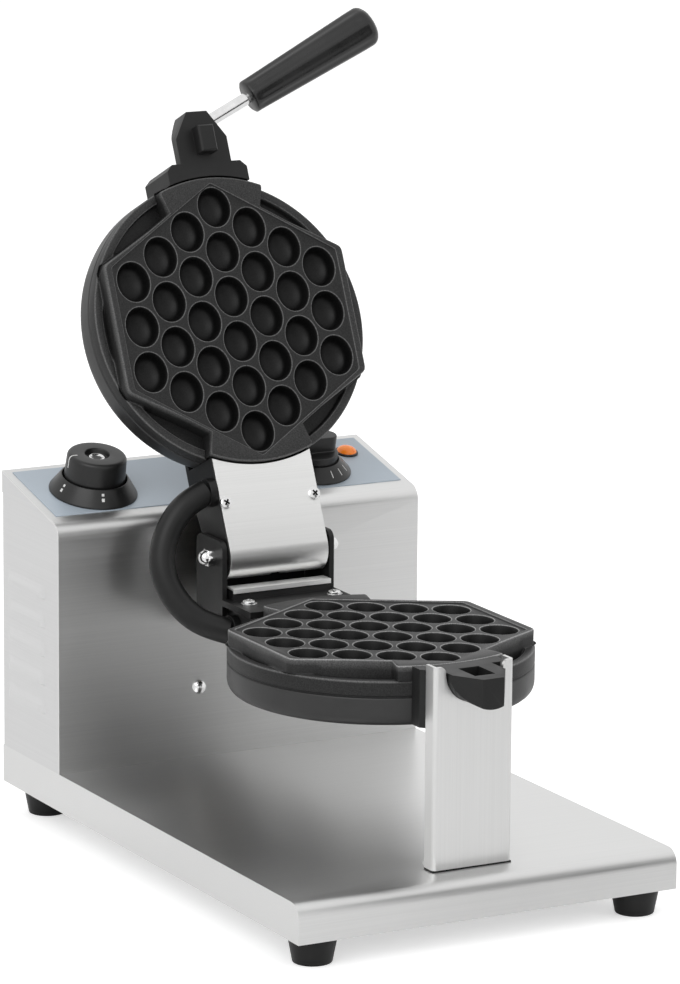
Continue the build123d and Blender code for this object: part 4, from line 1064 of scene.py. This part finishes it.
def cross_screw(washer):
    """A pan-head screw: a dome 2.2 mm high less a cross 1.1 mm deep, and its shank.

    Its height at a radius is 2.2 * (1 - 0.4 * share ^ 2.5). The painted shading is 1 in
    the cross, where its finish paints shade into the recess.
    """
    head = screw_head_radius
    turn = full_turn(screw_sides)[None, :]
    r = np.concatenate([np.linspace(0, 0.0022, 22), np.linspace(0.0024, 0.97 * head, 9)])
    x = r[:, None] * np.cos(turn)
    y = r[:, None] * np.sin(turn)
    narrow = 1 - smooth_step(np.abs([x, y]), 0.00040, 0.00060)
    long = 1 - smooth_step(np.abs([y, x]), 0.00185, 0.0021)
    cross = (narrow * long).max(axis=0)
    z = screw_head_height * (1 - 0.4 * (r[:, None] / head) ** 2.5) - screw_cross_depth * cross
    top = np.stack([x, y, z], axis=-1)
    below = [(head, 0.5 * screw_head_height), (head, 0.0001), (head - 0.0001, 0)]
    below += [(washer_radius, 0), (washer_radius, -washer_thickness)] if washer else []
    below += [(screw_shank_radius, below[-1][1]), (screw_shank_radius, screw_shank_end),
              (0, screw_shank_end)]
    sides, _ = turned_surface(below, screw_sides)
    points = np.vstack([top.reshape(-1, 3), sides])
    painted_shading = np.concatenate([cross.ravel(), np.zeros(len(sides))])
    return (points, grid_faces(len(r) + len(below), screw_sides)), painted_shading


def acorn_nut():
    """A domed nut: at each height its radius is the smaller of a hexagon and a circle."""
    turn = full_turn(96)[None, :]
    hexagon = nut_half_width / np.cos((turn + math.pi / 6) % (math.pi / 3) - math.pi / 6)
    rise = np.linspace(0, math.pi / 2, 14)
    z = np.concatenate([[0, 0, 0.0003, 0.0044, 0.0050], 0.0050 + 0.0045 * np.sin(rise)])
    circle = np.concatenate([[0, 0.0054, 0.0058, 0.0058, 0.0050], 0.0046 * np.cos(rise)])
    radius = np.minimum(hexagon, circle[:, None])
    points = np.stack([radius * np.cos(turn), radius * np.sin(turn), z[:, None] + 0 * turn],
                      axis=-1)
    return points.reshape(-1, 3), grid_faces(len(z), 96)


def dome(radius, bottom, height, steps):
    """A quarter of an ellipse as a profile, from its widest point up to the axis."""
    rise = np.linspace(0, math.pi / 2, steps)
    return np.stack([radius * np.cos(rise), bottom + height * np.sin(rise)], axis=-1)


screw, cross_shading = cross_screw(False)
screw_places = [opening @ Matrix.Translation(pan_middle + Vector((x, *cover_screw_place)))
                @ Matrix.Rotation(math.pi, 4, "X") @ Matrix.Rotation(x * 20, 4, "Z")
                for x in (-cover_screw_side, cover_screw_side)]
repeated_piece("hinge_cover_cross_screws", screw, screw_places, "lid", plated_finish,
               "hinge_cover_screws", cross_shading)
screw, cross_shading = cross_screw(True)
screw_places = [Matrix.Translation(pan_middle + Vector((x, *bracket_screw_place)))
                for x in (-bracket_screw_side, bracket_screw_side)]
repeated_piece("bracket_cross_screws", screw, screw_places, "pan", plated_finish,
               "bracket_screws", cross_shading)
nut_places = [Matrix.Translation(hinge_middle + Vector((side * nut_side, 0, 0)))
              @ Matrix.Rotation(side * math.pi / 2, 4, "Y") for side in (-1, 1)]
repeated_piece("hinge_acorn_nuts", acorn_nut(), nut_places, "pan", bright_finish,
               "hinge_nuts")
bolt_shape = np.vstack([[(0, bolt_shank_end), (bolt_shank_radius, bolt_shank_end),
                         (bolt_shank_radius, 0), (bolt_radius, 0)],
                        dome(bolt_radius, bolt_band, bolt_dome, 12)])
bolt_places = [Matrix.Translation((x, *bolt_place)) @ Matrix.Rotation(math.pi / 2, 4, "X")
               for x in (-bolt_side, bolt_side)]
repeated_piece("bearing_dome_bolts", turned_surface(bolt_shape, 72), bolt_places, "stand",
               bright_finish, "bearing_bolts")
cap_ring = np.array([(cap_ring_inside, 0), (cap_ring_outside, 0), (cap_ring_outside, 0.0010),
                     (0.0042, 0.0012), (cap_radius, 0.0008), (cap_ring_inside, cap_height),
                     (cap_ring_inside, 0)]) + (0, hollow_floor)
turned_piece("thermostat_cap_ring", round_profile(cap_ring, 0.0002), 72, thermostat_seat,
             "thermostat_dial", bright_finish, ["thermostat_knob_cap"])

# Handle grip: turned black phenolic, thicker towards its rounded end, with ten soft flats
# drawn along it. It is pushed onto the bright rod.
grip_length = 0.094
grip_small_radius = 0.0110
grip_large_radius = 0.0136
grip_flats = 10
grip_ease = 0.0003
grip_sides = 160
grip_steps = 96
rod_root = Vector((0.002, -0.124, 0.0116)) + pan_middle
rod_way = Vector((0.889, -0.3925, -0.2354)).normalized()
rod_visible = 0.041


def grip_surface():
    """Radius = taper(s) * end rounding(s), less a shallow cosine flat round the axis."""
    s = np.linspace(0, 1, grip_steps)[:, None]
    turn = full_turn(grip_sides)[None, :]
    widening = grip_large_radius - grip_small_radius
    taper = grip_small_radius + widening * np.minimum(s / 0.87, 1)
    small_end = np.sqrt(np.clip(1 - (1 - np.minimum(s / 0.02, 1)) ** 2, 0, 1))
    large_end = np.sqrt(np.clip(1 - np.maximum((s - 0.93) / 0.07, 0) ** 2, 0, 1))
    radius = taper * (0.86 + 0.14 * small_end) * (0.45 + 0.55 * large_end)
    middle = np.clip(np.minimum(s / 0.06, (1 - s) / 0.12), 0, 1)
    radius = radius - grip_ease * middle * (1 + np.cos(grip_flats * turn))
    z = s * grip_length + 0 * turn
    points = np.stack([radius * np.cos(turn), radius * np.sin(turn), z], axis=-1)
    ends = np.array([[0, 0, 0], [0, 0, grip_length]])
    first = grip_steps * grip_sides
    faces = grid_faces(grip_steps, grip_sides).tolist()
    faces += [[first, (k + 1) % grip_sides, k] for k in range(grip_sides)]
    faces += [[first + 1, first - grip_sides + k, first - grip_sides + (k + 1) % grip_sides]
              for k in range(grip_sides)]
    return np.vstack([points.reshape(-1, 3), ends]), faces


grip_axes = rod_way.to_track_quat("Z", "Y").to_matrix().to_4x4()
grip_place = opening @ Matrix.Translation(rod_root + rod_way * rod_visible) @ grip_axes
grip_finish = moulded_finish("black_phenolic", (0.008,) * 3, (0.013,) * 3, 0.22, 0.32,
                             700, 0.00003)
points, faces = grip_surface()
make_piece("handle_grip_turned", placed(points, grip_place), faces, "lid",
           grip_finish, ["handle_grip"])
finished_copy("handle_rod", bright_finish, 0.0002, 40)

# Timer knob and lamp: the knob is a black bar moulded with its skirt, and the lamp a
# domed orange lens, pushed into the panel through a black collar. The lens's weak glow
# is a painted highlight.
lamp_radius = 0.0064
lamp_body_radius = 0.0051
lamp_body_end = -0.0080
lamp_band = 0.0012
lamp_dome = 0.0036
lamp_place = (0.0345, 0.017, 0)
collar_inside = 0.0062
finished_copy("timer_knob", knob_finish, 0.0012, 40)
lamp_finish, lamp_shader = new_finish("orange_lens", (0.9, 0.22, 0.02), 0, 0.15)
mottle(lamp_finish, lamp_shader, 500, (0.85, 0.17, 0.01), (0.95, 0.28, 0.03), 0.05, 0.12)
# Painted highlight: a weak orange glow that brightens the lens.
lamp_shader.inputs["Emission Color"].default_value = (1.0, 0.25, 0.02, 1)
lamp_shader.inputs["Emission Strength"].default_value = 0.22
lamp_seat = timer_seat @ Matrix.Translation(lamp_place)
lamp_shape = np.vstack([[(0, lamp_body_end), (lamp_body_radius, lamp_body_end),
                         (lamp_body_radius, film_thickness), (lamp_radius, film_thickness)],
                        dome(lamp_radius, lamp_band, lamp_dome, 14)])
turned_piece("indicator_lamp_lens", lamp_shape, 72, lamp_seat, "stand",
             lamp_finish, ["indicator_lamp"])
collar_shape = round_profile([(collar_inside, film_thickness), (0.0075, film_thickness),
                              (0.0073, 0.0015), (collar_inside, 0.0018),
                              (collar_inside, film_thickness)], 0.0002)
turned_piece("indicator_lamp_collar", collar_shape, 72, lamp_seat, "stand",
             knob_finish)

# Inner parts, out of sight in the housing and behind the plates: ring heaters, the
# hollow pivot shaft and its bearing in turned steel, a brass bush, two moulded switch
# bodies with their spindles, and an off-white terminal block.
plain_steel = brushed_finish("turned_steel", (0.55, 0.55, 0.54), 0.3, 0.42, (1, 0.05, 1))
for inner in ("lower_heater", "upper_heater", "rotor_shaft", "shaft_collar",
              "bearing_bracket", "thermostat_spindle", "timer_spindle"):
    finished_copy(inner, plain_steel, 0.0003)
brass_finish = brushed_finish("turned_brass", (0.72, 0.52, 0.24), 0.25, 0.4, (1, 0.05, 1))
finished_copy("shaft_bush", brass_finish, 0.0003)
for switch_body in ("thermostat_body", "timer_body"):
    finished_copy(switch_body, knob_finish, 0.0006)
terminal_finish = moulded_finish("terminal_moulding", (0.74, 0.74, 0.70), (0.8, 0.8, 0.76),
                                 0.4, 0.5, 600, 0.00005)
finished_copy("terminal_block", terminal_finish, 0.0005)
